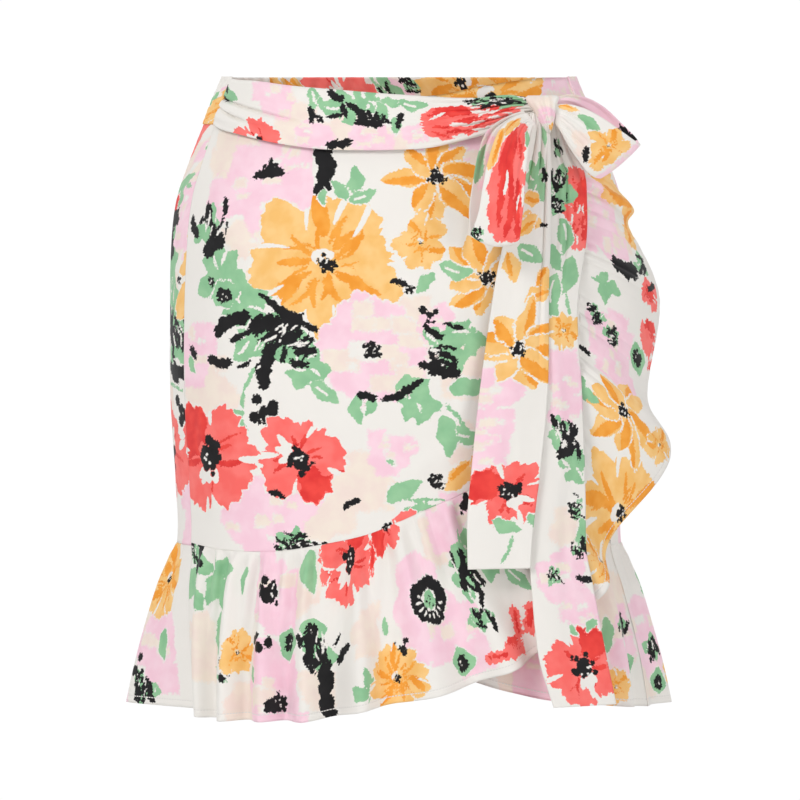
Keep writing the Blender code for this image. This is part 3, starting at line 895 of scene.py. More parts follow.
BACK_GRID = (520, 76)
piece, u, v = cloth("back_ruffle_cloth", *BACK_GRID)
angle = round_back(u)
down = fall(v)
level = RUFFLE_SEAM + SEAM_TUCK + (HEM - RUFFLE_SEAM - SEAM_TUCK) * down
turns = smooth(BACK_WAVES, u)[0]
out = UNDER_OUT + 2.5 * down + BACK_SWING * down**0.8 * np.cos(TAU * turns)
out += broad_gathers(turns, down)
right, left = 1 - ease(u, 0, 0.05), ease(u, 0.94, 1)
seam_angle, _, hem_angle, _, hem_out, swing = WRAP_EDGE[0][2:]
out += (UNDER_OUT + 3 * down**1.2 - out) * right
out += (UNDER_OUT + (hem_out - UNDER_OUT) * down**1.3 - swing * down**0.8 - out) * left
off_seams = ease(down, 0, 0.03) * (1 - right) * (1 - left)
out += 2.8 * gathered(u * BACK_LENGTH, 8.0, 3.0) * np.exp(-down / 0.28) * off_seams
out -= SEAM_DIP * (1 - ease(down, 0, 0.02))
points = on_form(angle + (hem_angle - seam_angle) * down * left, level, out)
BACK_RUFFLE_PRINT = motifs(
    121,
    pink_wash, (800, 74, 30),
    peach_wash, (784, 50, 20),
    bloom, (786, 28, 30),
    leaf, (806, 62, 24, 80),
    brushwork, (792, 106, 18, 70),
    flecks, (776, 96, 14),
    pink_wash, (20, 66, 34),
    peach_wash, (10, 92, 24),
    brushwork, (24, 80, 14, 80),
    bud, (22, 112, 9, -80),
    small_bloom, (48, 100, 17),
    leaf, (34, 24, 30, 80),
)
BACK_REPEATS = repeated(REPEAT, ((222, -196), (470, -160), (718, -190)), 35)
length = finish_ruffle(piece, "back_ruffle", u, v, BACK_GRID, points, BACK_REPEATS + BACK_RUFFLE_PRINT)


# ======== Inner front ========
# The front that lies under, of the same cloth: sewn in at the right side seam, it runs to its hidden edge,
# which curves up to the waist. Its own ruffle is sewn to that edge.

UNDER_RUFFLE_END = 290.0
UNDER_WAVES = 8.5
UNDER_LENGTH = 440.0

# The inner front in the same columns as WRAP_EDGE, from the right side seam to its hidden left edge
UNDER_EDGE = (
    (0, 68, 68, -332, 68, -447, 3.6, 6),
    (40, 54, 54, -333, 52, -444, -2, 5),
    (80, 40, 40, -328, 38, -440, -8, 3),
    (115, 29, 28, -320, 26, -434, -10, 3),
    (150, 18, 16, -305, 12, -421, -10, 3),
    (188, 8, 4, -286, -2, -398, -9, 3),
    (228, -2, -8, -262, -13, -355, -7, 2),
    (270, -11, -18, -230, -21, -298, -5, 1.5),
    (306, -18, -23.5, -196, -24.5, -226, -3, 0.5),
    (350, -22, -26.5, -154, -28.5, -174, 0, 0),
    (395, -26, -27.5, -110, -29.5, -130, 0, 0),
    (440, -27.5, -28, -66, -30, -86, 0, 0),
)
UNDER_TOP = ((-28, -25), (8, -19), (22, -12.4), (34, -8.4), (48, -5), (68, -3))

piece, u, v = cloth("underlap_panel_cloth", 150, 130)
top_angle, seam_angle, seam_level = smooth(UNDER_EDGE, u * UNDER_LENGTH)[:3]
top_level = smooth(UNDER_TOP, top_angle)[0]
angle = top_angle + (seam_angle - top_angle) * v
level = top_level + (seam_level - top_level) * v
shape_cloth(piece, on_form(angle, level, UNDER_OUT + 0 * u), edges_only=True)
# The repeat again, mirrored, after the motifs at the right end, which shows
UNDER_REPEAT = tuple(
    (kind, 30 - x, y + 60, size, turn, seed + 200) for kind, x, y, size, turn, seed in REPEAT
)
UNDER_PRINT = motifs(201, bloom, (64, 20, 46), pink_wash, (118, 12, 16), peach_wash, (138, 30, 24))
finish_cloth(piece, "underlap_panel", *flat_on_form(angle, level), UNDER_PRINT + UNDER_REPEAT)

UNDER_GRID = (310, 80)
piece, u, v = cloth("underlap_ruffle_cloth", *UNDER_GRID)
run = u * UNDER_RUFFLE_END
down = fall(v)
seam_angle, seam_level, hem_angle, hem_level, hem_out, swing = smooth(UNDER_EDGE, run)[1:]
angle = seam_angle + (hem_angle - seam_angle) * down
level = seam_level + SEAM_TUCK * (1 - down) + (hem_level - seam_level) * down
out = UNDER_OUT + (hem_out - UNDER_OUT) * down**1.2
out += swing * down**0.8 * np.cos(TAU * (0.25 + UNDER_WAVES * u))
out += 0.9 * gathered(run, 7.0, 4.0) * np.exp(-down / 0.22) * ease(down, 0, 0.03) * ease(run, 0, 12)
out -= SEAM_DIP * (1 - ease(down, 0, 0.02))
points = on_form(angle, level, out)
UNDER_RUFFLE_PRINT = motifs(
    301,
    peach_wash, (30, 40, 30),
    pink_wash, (22, 74, 24),
    leaf, (44, 10, 26, 80), (40, 52, 26, 80),
    small_bloom, (40, 102, 13),
    bud, (14, 96, 9, -70),
    brushwork, (18, 60, 13, 80),
    pink_wash, (100, 90, 34),
    peach_wash, (130, 100, 26),
)
length = finish_ruffle(piece, "underlap_ruffle", u, v, UNDER_GRID, points, UNDER_RUFFLE_PRINT)


# ======== Outer front ========
# The front that lies over, from the left side seam round to the right waist, with one dart on the left side
# of the waist. Its lower edge curves up to the waist under the bow.

WRAP_LENGTH = 547.0
OVER_OUT = 5.0
DART_ACROSS = -59.5
DART_TIP = 118.0
DART_LENGTH = 66.0
DART_TAKE = 13.0
OVER_EASE = 26.0
OVER_TOP = ((-66, -6), (-46, -10), (-30, -14), (-15, -17.5), (4, -21.5), (20, -24.5), (36, -27), (66, -27))

# Long soft creases in the outer front, in its cut: across and down at each end, half width, and depth
FRONT_CREASES = (
    (-140, 70, -96, 150, 11, 0.8),
    (-136, 96, -112, 160, 7, -0.8),
    (-150, 230, -128, 325, 10, 1),
    (-60, 225, -38, 330, 13, -0.7),
    (18, 70, 2, 200, 14, 0.8),
    (52, 90, 40, 170, 6, -1.1),
    (66, 100, 34, 250, 12, -0.9),
    (58, 175, 24, 300, 8, 0.9),
    (40, 255, -20, 315, 12, 0.9),
)


def over_out(angle):
    """The outer front leaves the form at the side seam and lies over the inner front from there on."""
    return UNDER_OUT + (OVER_OUT - UNDER_OUT) * ease(angle, SIDE_LEFT, SIDE_LEFT + OVER_EASE)


def creases(across, down, table):
    """Soft troughs and ridges along straight lines between two places of a cut, fading out at their ends."""
    total = np.zeros_like(across)
    for x_start, y_start, x_end, y_end, half_width, depth in table:
        run_x, run_y = x_end - x_start, y_end - y_start
        length = math.hypot(run_x, run_y)
        share = ((across - x_start) * run_x + (down - y_start) * run_y) / length**2
        aside = ((across - x_start) * run_y - (down - y_start) * run_x) / length
        total += depth * hump(aside, 0, half_width) * ease(share, 0, 0.25) * (1 - ease(share, 0.65, 1))
    return total


piece, u, v = cloth("overlap_panel_cloth", 292, 305)
run = WRAP_LENGTH * (0.6 * u + 0.4 * u * u)
top_angle, seam_angle, seam_level = smooth(WRAP_EDGE, run)[:3]
top_level = smooth(OVER_TOP, top_angle)[0]
angle = top_angle + (seam_angle - top_angle) * v
level = top_level + (seam_level - top_level) * (v + 0.35 * v * (1 - v))
across, down = flat_on_form(angle, level)
out = over_out(angle) + creases(across, down, FRONT_CREASES)
in_dart = np.clip((DART_TIP - down) / DART_LENGTH, 0, 1.2)
out -= 0.7 * hump(across, DART_ACROSS, 2.2) * ease(in_dart, 0, 0.1)
out += 0.5 * hump(across, DART_ACROSS, 12) * hump(down, DART_TIP, 22)
shape_cloth(piece, on_form(angle, level, out), edges_only=True)
taken = np.where(across > DART_ACROSS, 0, -DART_TAKE * in_dart)
finish_cloth(piece, "overlap_panel", across + taken, down, REPEAT)


# ======== Ruffle of the outer front ========
# One long strip gathered on to the curved edge: a flounce along the bottom that swings up to a cascade of
# lobes beside the bow, and runs out at the waist.

# Where the ruffle of the outer front is on a crest (whole turns) or in a trough (half turns)
WRAP_WAVES = (
    (0, 0.5), (20, 1), (48, 2), (76, 3), (104, 4), (141, 5), (154, 5.5), (170, 6), (205, 7), (240, 8),
    (275, 9), (300, 9.5), (348, 10), (371, 10.5), (427, 11), (468, 11.5), (481, 12), (520, 13), (547, 13.6),
)

# The print starts this far into the repeat at the left end of the strip
PRINT_START = 10
WRAP_GRID = (820, 115)
MM_PER_DEGREE = 2.6
CASCADE = 440

piece, u, v = cloth("overlap_ruffle_cloth", *WRAP_GRID)
run = u * WRAP_LENGTH
down = fall(v)
seam_angle, seam_level, hem_angle, hem_level, hem_out, swing = smooth(WRAP_EDGE, run)[1:]
turns = smooth(WRAP_WAVES, run)[0]
start = over_out(seam_angle)
strip_depth = np.hypot((hem_angle - seam_angle) * MM_PER_DEGREE, hem_level - seam_level)
share = down + (1 - down) * -SEAM_TUCK / strip_depth
angle = seam_angle + (hem_angle - seam_angle) * share
level = seam_level + (hem_level - seam_level) * share
out = start + (hem_out - start) * down**1.3 + swing * down**0.8 * np.cos(TAU * turns)
out += broad_gathers(turns, down) * ease(run, 0, 20) * ease(swing, 0, 4)
fade = 34 + 24 * hump(run, CASCADE, 130)
uneven = 0.55 + 0.45 * np.cos(run / 6.1 + 1.2 * np.sin(run / 14))
gathers = (3.4 + 1.6 * hump(run, CASCADE, 110)) * uneven * gathered(run, 8.2, 0.4)
gathers *= np.exp(-down * strip_depth / fade) * ease(down, 0, 0.03)
out += gathers * ease(run, 0, 12) * ease(swing, 0, 4)
out -= SEAM_DIP * (1 - ease(down, 0, 0.02))
points = on_form(angle, level, out)
WRAP_PRINT = motifs(
    301,
    peach_wash, (40, 70, 26),
    pink_wash, (128, 34, 30),
    peach_wash, (160, 30, 20),
    pink_wash, (130, 100, 38),
    peach_wash, (96, 112, 22), (176, 100, 16),
    pink_wash, (292, 60, 38), (316, 92, 26), (344, 12, 26),
    peach_wash, (322, 22, 18), (226, 66, 18),
    sprig, (14, 4, 32, 66),
    brushwork, (14, 8, 11, 80),
    sprig, (46, 4, 30, 64, 313),
    leaf, (58, 44, 34, 70),
    flecks, (24, 10, 14),
    leaf, (92, 12, 20, 100), (166, 4, 32, 80),
    flecks, (76, 84, 12, 80),
    small_bloom, (88, 72, 17),
    leaf, (108, 80, 14, 80),
    green_line, (66, 88, 30, 20),
    heart, (123, 31, 11),
    slab, (132, 109, 22, -12),
    heart, (134, 106, 8, 0, 323),
    flecks, (118, 64, 12, 20),
    bud, (146, 56, 11, 90), (168, 52, 13, 80),
    brushwork, (178, 74, 22, 84),
    slash, (188, 102, 42, 86), (201, 80, 20, -40),
    sprig, (224, 118, 16, -90),
    coral_petal, (184, 16, 30, 76), (232, 18, 28, 100, 331),
    poppy, (207, 16, 30, 20, 331), (262, -2, 24, 50),
    bloom, (254, 104, 25),
    flecks, (262, 84, 9),
    leaf, (248, 74, 14, -90),
    dark_ring, (298, 60, 19, 20),
    flecks, (366, 8, 12, 60),
    sprig, (350, 22, 22, 90),
    foliage, (372, 46, 22),
    brushwork, (344, 58, 21, 84), (340, 84, 14, 84),
    leaf, (384, 60, 26, 60),
    bud, (312, 118, 10, -90),
    red_lick, (342, 113, 24, 4),
    coral_petal, (360, 112, 24, -6),
    red_lick, (374, 98, 24, -80),
    coral_petal, (388, 102, 26, -58),
    sprig, (430, 60, 22, 60, 347),
    peach_wash, (440, 90, 26),
    brushwork, (448, 60, 15),
    pink_wash, (470, 40, 22),
    bloom, (476, 100, 24, 0, 350), (518, 94, 44),
    daisy, (575, 50, 38),
    small_bloom, (577, 93, 15),
    sprig, (546, 12, 18),
    pink_wash, (638, 34, 28), (618, 40, 22),
    slab, (611, 8, 14, 90),
    bud, (641, 58, 12, 78),
    sprig, (682, 12, 18, 100),
    brushwork, (656, 20, 11, 60), (645, 36, 12, 60),
    coral_petal, (692, 82, 32, 92), (666, 84, 34, 78),
    red_lick, (648, 98, 20, 70),
    slab, (704, 46, 32, 86),
    brushwork, (712, 68, 15, 50),
    slash, (700, 84, 18, 60),
    pink_wash, (722, 30, 22),
    peach_wash, (726, 46, 16),
    pink_wash, (740, 18, 20), (764, 18, 18),
    peach_wash, (772, 30, 14),
    amber_stroke, (796, 26, 36, 50), (775, 52, 56, 88), (756, 68, 38, 20), (738, 62, 26, 20, 377),
)
length = finish_ruffle(piece, "overlap_ruffle", u, v, WRAP_GRID, points, WRAP_PRINT, PRINT_START)


# ======== Sash ========
# A double band sewn into the left side seam in pleats. It lies smooth over the front of the waist and is
# drawn up into the knot; a short stretch goes on from the knot to the right side.

TIE_WALL = 0.9

# Angle, level of the top and of the bottom, stand-off from the form
SASH_LEFT = (
    (-65.7, -4, -36.5, 2.5),
    (-56, -6, -41, 6),
    (-46, -7.5, -45, 8),
    (-30, -12, -52.5, 9),
    (-15, -15.3, -57, 9),
    (4, -19.6, -56.5, 9),
    (12, -21, -52, 9.6),
    (20, -21, -46.5, 11),
    (29, -19, -39, 15),
    (34, -20.5, -35, 20),
    (38.5, -23, -32, 26),
)
SASH_RIGHT = (
    (38, -21, -38, 15), (46.5, -19.5, -42, 11), (53, -19, -45, 9.5), (60, -19, -48, 8.5),
    (67.6, -19, -47, 8),
)

# The pleats that start at the side seam, in the same form as those of the outer front
SASH_CREASES = (
    (-150, 14, -60, 40, 2.4, -3.4),
    (-150, 20, -70, 43, 5, 2),
    (-150, 20, -100, 39, 2.2, -3),
    (-150, 27, -92, 44, 5, 1.4),
    (-112, 12, -60, 22, 7, 0.6),
    (-60, 42, 0, 44, 9, 0.7),
    (-30, 28, 30, 34, 5, -0.6),
)


def sash(name, columns, rows, table):
    """A stretch of the sash, from end to end of its table: its piece, shares, angle, level and stand-off."""
    piece, u, v = cloth(name, columns, rows)
    first, last = table[0][0], table[-1][0]
    angle = first + (last - first) * u
    top, bottom, stand = smooth(table, angle)
    return piece, u, v, angle, top + (bottom - top) * v, stand


piece, u, v, angle, level, out = sash("sash_left_cloth", 300, 76, SASH_LEFT)
across, down = flat_on_form(angle, level)
drawn = ease(u, 0.55, 0.98)
pleats = np.abs(np.cos(math.pi * (5.5 * v + 0.5 * np.sin(5 * u) + 0.2))) ** 0.7
out += creases(across, down, SASH_CREASES)
out += drawn * (3.0 * (pleats - 0.7) + 0.9 * np.cos(math.pi * (17 * v + 2 * u)) + 2.0 * np.sin(math.pi * v))
out -= 1.3 * (1 - ease(v, 0, 0.05)) + 0.5 * ease(v, 0.97, 1)
shape_cloth(piece, on_form(angle, level, out), TIE_WALL)
SASH_TOP = 5
SASH_WIDTH = 46
SASH_PRINT = motifs(
    401,
    pink_wash, (-84, 16, 17),
    peach_wash, (-70, 34, 18),
    pink_wash, (-58, 40, 14),
    peach_wash, (-38, 38, 18),
    pink_wash, (-20, 40, 15),
    peach_wash, (-2, 42, 12),
    pink_wash, (10, 38, 10),
    poppy, (-95, 57, 21, 10),
    leaf, (-138, 19, 24, 8),
    slash, (-132, 14, 14, 60), (-134, 24, 16, 12, 410),
    leaf, (-59, 5, 18, 90), (-53, 12, 10, 80),
    foliage, (-38, 18, 13, 20), (-22, 12, 11),
    leaf, (-12, 10, 16, 10), (-14, 12, 18, 84), (0, 11, 20, 4), (-3, 24, 15, 88),
    slab, (-42, 9, 14, 30),
    slash, (-36, 20, 14, 76), (-31, 17, 12, 40, 420), (-29, 21, 15, 62), (-24, 24, 13, 70, 421),
    (-19, 24, 12, 60), (-14, 25, 12, 66, 422), (-9, 26, 11, 50), (-20, 29, 22, 4, 423), (1, 27, 15, 104),
    (-60, 26, 15, 84),
    flecks, (-52, 28, 5),
    slash, (-43, 25, 12, -14), (-40, 46, 20, -14), (-44, 47, 12, -50),
    coral_petal, (36, 27, 44, -6), (48, 38, 36, 8), (62, 26, 36, 14),
    red_lick, (28, 42, 20, 30),
    white_nick, (46, 33, 26, 6, 438), (58, 22, 22, 12), (60, 42, 24, 4), (26, 24, 14, -30),
    brushwork, (55, 8, 13, 0, 434),
    foliage, (72, 16, 10),
    brushwork, (68, 11, 14, 20), (82, 14, 12, 30),
)
finish_cloth(piece, "sash_left", across, SASH_TOP + SASH_WIDTH * v, SASH_PRINT, slot="tie_cloth")

piece, u, v, angle, level, out = sash("sash_right_cloth", 90, 40, SASH_RIGHT)
out += 1.2 * (1 - ease(u, 0.1, 0.9)) * (np.abs(np.cos(math.pi * 3.5 * v)) - 0.6)
shape_cloth(piece, on_form(angle, level, out), TIE_WALL)
SASH_RIGHT_PRINT = motifs(
    501,
    peach_wash, (92, 26, 14), (118, 34, 14),
    brushwork, (116, 23, 8),
    petal, (114, 32, 14, 10),
)
finish_cloth(piece, "sash_right", *flat_on_form(angle, level), SASH_RIGHT_PRINT, slot="tie_cloth")


# ======== Tie ends ========
# The two free ends of the sash, double cloth cut square and turned in, hanging from the knot over the
# front. The shorter one lies on the longer one.

# Level, x of the left and of the right edge, stand-off from the form
TAIL_FRONT = (
    (-32, 91, 98, 29),
    (-38, 89.5, 102.5, 27),
    (-46, 88, 104.5, 23.5),
    (-58, 85.5, 105, 19.5),
    (-75, 82, 105, 16.5),
    (-92, 77, 105, 15),
    (-125, 71, 104.5, 14),
    (-150, 66, 103.5, 13.5),
    (-222, 55.6, 102.8, 14.5),
    (-274, 50, 98, 17.5),
    (-312, 46.7, 93, 21),
    (-345, 47, 90, 24),
)
TAIL_BACK = (
    (-30, 103, 109, 27),
    (-39, 101, 112.5, 23),
    (-50, 98, 117.5, 17),
    (-60, 95, 123, 13),
    (-72, 92, 129.5, 11),
    (-91, 89.5, 131, 10.5),
    (-118, 88, 130.5, 10),
    (-166, 84, 124, 10),
    (-224, 86, 127, 11),
    (-275, 88, 129, 13.5),
    (-300, 89, 129.5, 16),
    (-335, 89.5, 130, 19),
    (-352, 90.5, 133, 20.5),
    (-405, 95.5, 142.5, 25),
    (-439, 105.5, 149.5, 26),
)

# Creases of each end in its cut: across and down at each end, half width, and depth
CREASES_FRONT = (
    (35, 6, 36, 190, 1.6, -1.6), (38, 8, 39, 200, 3, 1.2), (20, 0, 12, 60, 3, -1.6),
    (28, 0, 26, 50, 2.4, -1.4), (10, 0, 2, 50, 3, 1.4), (24, 100, 14, 260, 9, 0.9),
    (10, 150, 30, 290, 7, -0.9),
)
CREASES_BACK = (
    (30, 8, 33, 130, 1.8, -1.8), (26, 6, 28, 120, 3, 1.3), (40, 10, 44, 60, 3, -1.6),
    (36, 4, 38, 50, 2.4, 1.4), (24, 120, 34, 300, 8, 0.9), (36, 220, 22, 390, 8, -1),
)
TIE_ROW = 1.1
IN_FRONT = 89.0
HALVINGS = 30


def on_form_at(x, level, out):
    """The points in front that have this x at this level and stand-off."""
    low, high = np.full_like(x, -IN_FRONT), np.full_like(x, IN_FRONT)
    for _ in range(HALVINGS):
        angle = (low + high) / 2
        short = on_form(angle, level, out)[..., 0] < x
        low, high = np.where(short, angle, low), np.where(short, high, angle)
    return on_form((low + high) / 2, level, out)


def tie_end(name, table, width, folds, rows):
    top, bottom = table[0][0], table[-1][0]
    piece, u, v = cloth(name + "_cloth", 46, round((top - bottom) / TIE_ROW))
    level = top + (bottom - top) * v
    left, right, out = smooth(table, level)
    across, down = width * u, top - level
    out = out + 1.6 * (1 - ease(v, 0, 0.25)) * (np.abs(np.cos(math.pi * (3.5 * u + 0.2))) - 0.6)
    out += 0.6 * np.cos(math.pi * 2.2 * u + 5 * v) + creases(across, down, folds)
    shape_cloth(piece, on_form_at(left + (right - left) * u, level, out), TIE_WALL)
    finish_cloth(piece, name, across, down, rows, slot="tie_cloth")


TAIL_BACK_PRINT = motifs(
    601,
    pink_wash, (34, 184, 18), (32, 206, 15), (24, 322, 22), (36, 342, 16),
    peach_wash, (30, 290, 14),
    brushwork, (27, 24, 9, 60),
    foliage, (27, 56, 13),
    brushwork, (24, 46, 13, 84), (24, 64, 12, 20),
    coral_petal, (40, 58, 42, 86), (43, 78, 38, 94),
    leaf, (27, 74, 26, 82), (20, 92, 22, 60), (38, 100, 30, 104), (27, 112, 34, 84),
    green_line, (38, 132, 30, 76),
    small_bloom, (36, 152, 14),
    heart, (20, 146, 4),
    foliage, (38, 246, 15),
    brushwork, (28, 222, 17, 70),
    slab, (32, 236, 17, -20),
    brushwork, (40, 274, 10, 30),
    leaf, (44, 282, 22, 90),
    brushwork, (42, 301, 10, 80), (18, 320, 9, 60),
    slash, (42, 324, 15, 8),
    poppy, (30, 383, 28, 30),
    leaf, (26, 354, 9, 60), (46, 352, 12, 140, 628),
)
TAIL_FRONT_PRINT = motifs(
    701,
    pink_wash, (8, 190, 19), (7, 216, 18), (9, 238, 15),
    leaf, (31, 8, 15, 84), (24, 26, 14, 60),
    foliage, (24, 46, 15),
    slab, (34, 42, 12, 60),
    slash, (34, 44, 11, -30),
    petal, (30, 60, 20, 184), (10, 76, 24),
    slash, (35, 77, 9, 5),
    petal, (12, 84, 22, -40), (5, 96, 24, 62),
    leaf, (13, 92, 26, 22),
    petal, (40, 106, 24, 110), (42, 122, 22, 150),
    daisy, (22, 162, 33, 80),
    poppy, (24, 261, 24, 200),
    leaf, (16, 280, 20, 20), (38, 276, 14, 60),
    green_line, (26, 300, 22, 110),
)
tie_end("tail_back", TAIL_BACK, 48, CREASES_BACK, TAIL_BACK_PRINT)
tie_end("tail_front", TAIL_FRONT, 42, CREASES_FRONT, TAIL_FRONT_PRINT)


# ======== Bow ========
# Two loops of the sash, each folded out from the knot and back behind itself, and the knot: the sash wound
# once round the middle, which hides where the ends and the loops go in.

# Share of the way to the fold, x and z of one edge and of the other; first the front layer, then the back one
LOOP_LEFT_FRONT = (
    (0, 93.5, -31, 96.5, -40),
    (0.12, 80, -35, 91.5, -42),
    (0.3, 68.5, -45, 89, -53.5),
    (0.5, 61, -65, 86.5, -73),
    (0.7, 57, -84, 85, -92.5),
    (0.85, 54, -101.5, 83.5, -107),
    (1, 48.5, -116.5, 82, -120.5),
)
LOOP_LEFT_BACK = (
    (0, 92.5, -28, 95, -36),
    (0.12, 75, -34, 87.5, -40.5),
    (0.3, 61, -44, 83, -52),
    (0.5, 54.5, -60, 80.5, -72),
    (0.7, 50.5, -81, 80, -91),
    (0.85, 48, -99, 80, -106),
    (1, 48.5, -116.5, 82, -120.5),
)
LOOP_RIGHT_FRONT = (
    (0, 104.5, -26, 106, -36.5),
    (0.12, 116, -25.5, 111, -43.5),
    (0.3, 128.5, -28.5, 117, -54),
    (0.5, 141, -35, 123.5, -63.5),
    (0.75, 154.5, -44, 131, -72.5),
    (0.9, 163.5, -50, 136, -75.5),
    (1, 168, -52.5, 140, -76),
)
LOOP_RIGHT_BACK = (
    (0, 105.5, -22, 106.5, -32),
    (0.12, 117, -18.5, 113, -36),
    (0.3, 131, -20.5, 120, -46.5),
    (0.5, 143.5, -27, 128.5, -58),
    (0.75, 156, -38.5, 135, -69),
    (0.9, 164.5, -47, 138.5, -73.5),
    (1, 168, -52.5, 140, -76),
)

# Share of the way to the fold, y of the middle, and how far each layer bellies out from it
LOOP_LEFT_DEPTH = ((0, -104, 2.5), (0.12, -110, 5), (0.35, -122, 9.5), (0.7, -131, 11), (1, -134, 9))
LOOP_RIGHT_DEPTH = ((0, -101, 2.5), (0.12, -99, 4.5), (0.4, -92, 8.5), (0.75, -87, 9.5), (1, -84, 8))

# Creases that run out from the knot, in the cut: along and across at each end, half width, and depth
LOOP_LEFT_CREASES = (
    (0, 8, 60, 6, 3, -1.8),
    (0, 16, 50, 14, 3, 1.4),
    (0, 22, 44, 24, 2.6, -1.6),
    (0, 30, 80, 31, 3, -1.4),
    (60, 10, 94, 26, 4, 0.9),
    (190, 6, 130, 4, 3, 1.6),
)
LOOP_RIGHT_CREASES = (
    (0, 10, 46, 12, 3, -1.8),
    (0, 18, 36, 20, 3, 1.4),
    (2, 26, 50, 30, 3, -1.5),
    (0, 34, 40, 35, 2.6, 1.2),
    (130, 8, 80, 10, 3, -1.6),
    (130, 3, 90, 4, 2.6, 1.2),
)
LOOP_MOUTH = 0.42


def bow_loop(name, layers, depth, length, width, sag, folds, rows):
    """A strip bent into a drop: out along its front to the fold, and back behind it to the knot."""
    piece, u, v = cloth(name + "_cloth", 160, 44)
    turn = LOOP_MOUTH + u * (TAU - 2 * LOOP_MOUTH)
    far = (1 - np.cos(turn)) / 2
    near_x, near_z, far_x, far_z = np.where(turn < math.pi, smooth(layers[0], far), smooth(layers[1], far))
    middle, belly = smooth(depth, far)
    x = near_x + (far_x - near_x) * v
    z = near_z + (far_z - near_z) * v - sag * 4 * v * (1 - v) * ease(far, 0.72, 1)
    rise = belly * np.sin(turn) * (0.82 + 0.28 * np.sin(math.pi * v))
    rise += np.sign(np.sin(turn)) * creases(length * u, width * v, folds)
    shape_cloth(piece, np.stack([x, middle - rise, z], axis=-1), TIE_WALL)
    finish_cloth(piece, name, length * u, width * v, rows, slot="tie_cloth")


LOOP_LEFT_PRINT = motifs(
    801,
    pink_wash, (150, 4, 16),
    coral_petal, (36, 24, 50, 6, 805),
    red_lick, (54, 14, 46, 3), (58, 22, 52, 0, 810), (64, 32, 50, 2, 807),
    white_nick, (20, 31, 16, 20, 809),
    petal, (8, 8, 22, -8, 802), (24, 3, 22, -2),
    leaf, (18, 30, 12, 20), (136, 2, 20, 5, 808),
    brushwork, (85, 2, 11, 6),
)
LOOP_RIGHT_PRINT = motifs(
    811,
    peach_wash, (26, 26, 9),
    pink_wash, (63, 14, 14), (60, 30, 11), (92, 12, 26), (116, 14, 24),
    petal, (1, 3, 14, 8),
    leaf, (16, 7, 20, 34),
    green_line, (28, 18, 18, 40),
    small_bloom, (39, 14, 13, 40),
    amber_stroke, (40, 25, 20, 96, 819),
    slab, (31, 30, 12, 66), (84, 2, 16, 8),
)
LEFT_LAYERS = (LOOP_LEFT_FRONT, LOOP_LEFT_BACK)
RIGHT_LAYERS = (LOOP_RIGHT_FRONT, LOOP_RIGHT_BACK)
bow_loop("bow_loop_left", LEFT_LAYERS, LOOP_LEFT_DEPTH, 190, 36, 5.5, LOOP_LEFT_CREASES, LOOP_LEFT_PRINT)
bow_loop("bow_loop_right", RIGHT_LAYERS, LOOP_RIGHT_DEPTH, 130, 38, 2, LOOP_RIGHT_CREASES, LOOP_RIGHT_PRINT)

# The knot: level, left and right, where it shows, and how far it stands forward of its middle
KNOT_BAND = (
    (-45.5, 102.5, 104.5, 2.5), (-42, 100, 106, 5.5), (-36, 96, 107.5, 8), (-30, 92.5, 108.5, 9),
    (-25, 89, 109.5, 8), (-21, 87.5, 110.5, 5), (-19.5, 89, 109, 2),
)
KNOT_DEPTH = -101
KNOT_LEVEL = -32.5
KNOT_HALF_HEIGHT = 13

mesh = bpy.data.meshes.new("knot_cloth")
ball = bmesh.new()
bmesh.ops.create_uvsphere(ball, u_segments=96, v_segments=64, radius=1)
ways = np.array([vertex.co for vertex in ball.verts])
level = KNOT_LEVEL + KNOT_HALF_HEIGHT * ways[:, 2]
left, right, forward = smooth(KNOT_BAND, level)
share = ways[:, 0] / np.maximum(np.hypot(ways[:, 0], ways[:, 1]), 1e-6)
x = (left + right) / 2 + (right - left) / 2 * share
lengthwise = np.cos(math.pi * (4.2 * share + 0.5 * ways[:, 2])) * (1 - share**2)
belly = forward * np.sqrt(np.clip(1 - share**2, 0, 1)) ** 0.8 + 0.7 * lengthwise
points = np.stack([x, KNOT_DEPTH + np.sign(ways[:, 1]) * belly, level], axis=-1)
for vertex, point in zip(ball.verts, points):
    vertex.co = Vector(point) * MM
ball.to_mesh(mesh)
ball.free()
piece = add_object("knot_cloth", mesh)
KNOT_PRINT = motifs(901, peach_wash, (94, 26, 12), pink_wash, (102, 33, 7), petal, (105, 44, 6, -80))
finish_cloth(piece, "knot", x, -level, KNOT_PRINT, slot="tie_cloth")


# ======== Studio ========
# A pale round floor that fades into white air towards its rim, soft lights on all sides, and the camera in
# front of the skirt.

FLOOR_LEVEL = -0.95
FLOOR_RADIUS = 2.9
FADE_RADIUS = 1.2
FADE_GLOW = 0.5
AIR_LIGHT = 0.46
AIR_SEEN = 1.02

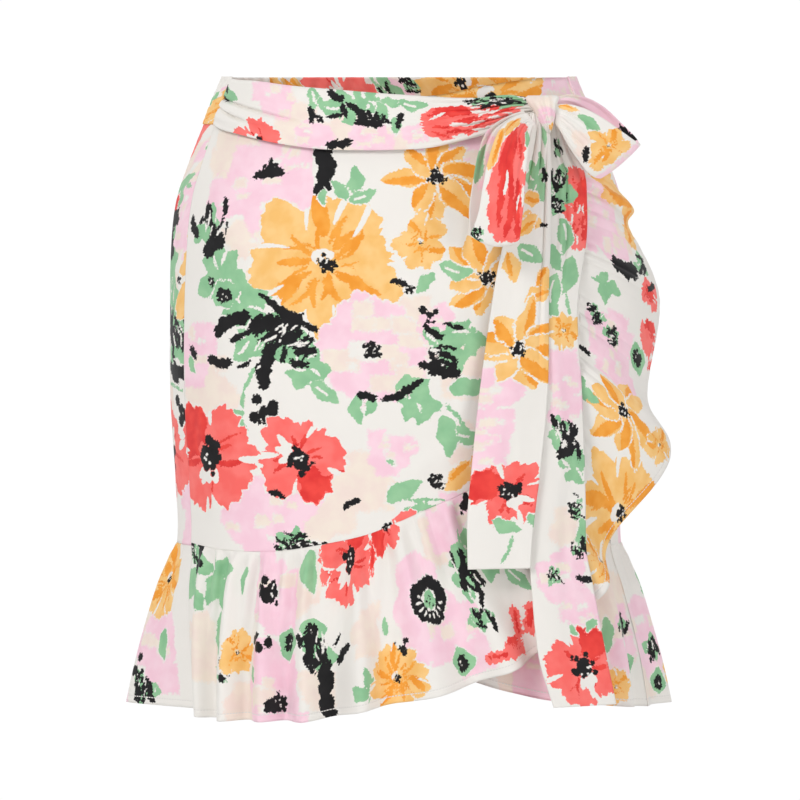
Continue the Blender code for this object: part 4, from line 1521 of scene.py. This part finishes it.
mesh = bpy.data.meshes.new("studio_floor")
disc = bmesh.new()
bmesh.ops.create_circle(disc, cap_ends=True, segments=128, radius=FLOOR_RADIUS)
bmesh.ops.translate(disc, vec=(0, 0, FLOOR_LEVEL), verts=disc.verts)
disc.to_mesh(mesh)
disc.free()
add_object("studio_floor", mesh)
paper = bpy.data.materials.new("studio_paper")
paper.use_nodes = True
shader = paper.node_tree.nodes["Principled BSDF"]
shader.inputs["Base Color"].default_value = (0.92, 0.92, 0.92, 1)
shader.inputs["Roughness"].default_value = 0.9
shader.inputs["Emission Color"].default_value = (1, 1, 1, 1)
shade = Shading(paper.node_tree)
place = shade.node("TexCoord", {})["Object"]
apart = shade.node("VectorMath", {0: place}, operation="LENGTH")["Value"]
shade.put(shader.inputs["Emission Strength"], shade.remap(apart, FADE_RADIUS, FLOOR_RADIUS, high=FADE_GLOW))
mesh.materials.append(paper)


def soft_light(name, place, aim, size, power):
    lamp = bpy.data.lights.new(name, "AREA")
    lamp.shape = "DISK"
    lamp.size = size
    lamp.energy = power
    light = bpy.data.objects.new(name, lamp)
    light.location = place
    light.rotation_euler = (Vector(aim) - Vector(place)).to_track_quat("-Z", "Y").to_euler()
    bpy.context.scene.collection.objects.link(light)


soft_light("key", (-1.5, -2.2, 1.3), (0, 0, -0.22), 0.9, 33)
soft_light("fill", (1.9, -2.0, 0.1), (0, 0, -0.22), 1.4, 15)
soft_light("top", (0, -0.4, 2.2), (0, 0, -0.2), 1.4, 6)
soft_light("rear left", (-1.5, 2.0, 1.5), (0, 0, -0.25), 1.2, 13)
soft_light("rear right", (1.7, 1.8, 1.3), (0, 0, -0.25), 1.2, 8)

# The air is white where the camera sees it, and dimmer where it lights the skirt
world = bpy.data.worlds.new("studio_air")
world.use_nodes = True
air = world.node_tree.nodes["Background"]
air.inputs["Color"].default_value = (1, 1, 1, 1)
shade = Shading(world.node_tree)
seen = shade.node("LightPath", {})["Is Camera Ray"]
shade.put(air.inputs["Strength"], shade.remap(seen, 0, 1, AIR_LIGHT, AIR_SEEN, "LINEAR"))
bpy.context.scene.world = world
bpy.context.scene.view_settings.view_transform = "Standard"

CAMERA_PLACE = (0.0007, -2.5, -0.165)
SENSOR = 36
VIEW_WIDTH = 0.576
VIEW_DROP = 0.0676
camera = bpy.data.cameras.new("camera")
camera.sensor_width = SENSOR
camera.lens = SENSOR * -CAMERA_PLACE[1] / VIEW_WIDTH
camera.shift_y = -VIEW_DROP / VIEW_WIDTH
camera_object = bpy.data.objects.new("camera", camera)
camera_object.location = CAMERA_PLACE
camera_object.rotation_euler = (math.pi / 2, 0, 0)
bpy.context.scene.collection.objects.link(camera_object)
bpy.context.scene.camera = camera_object
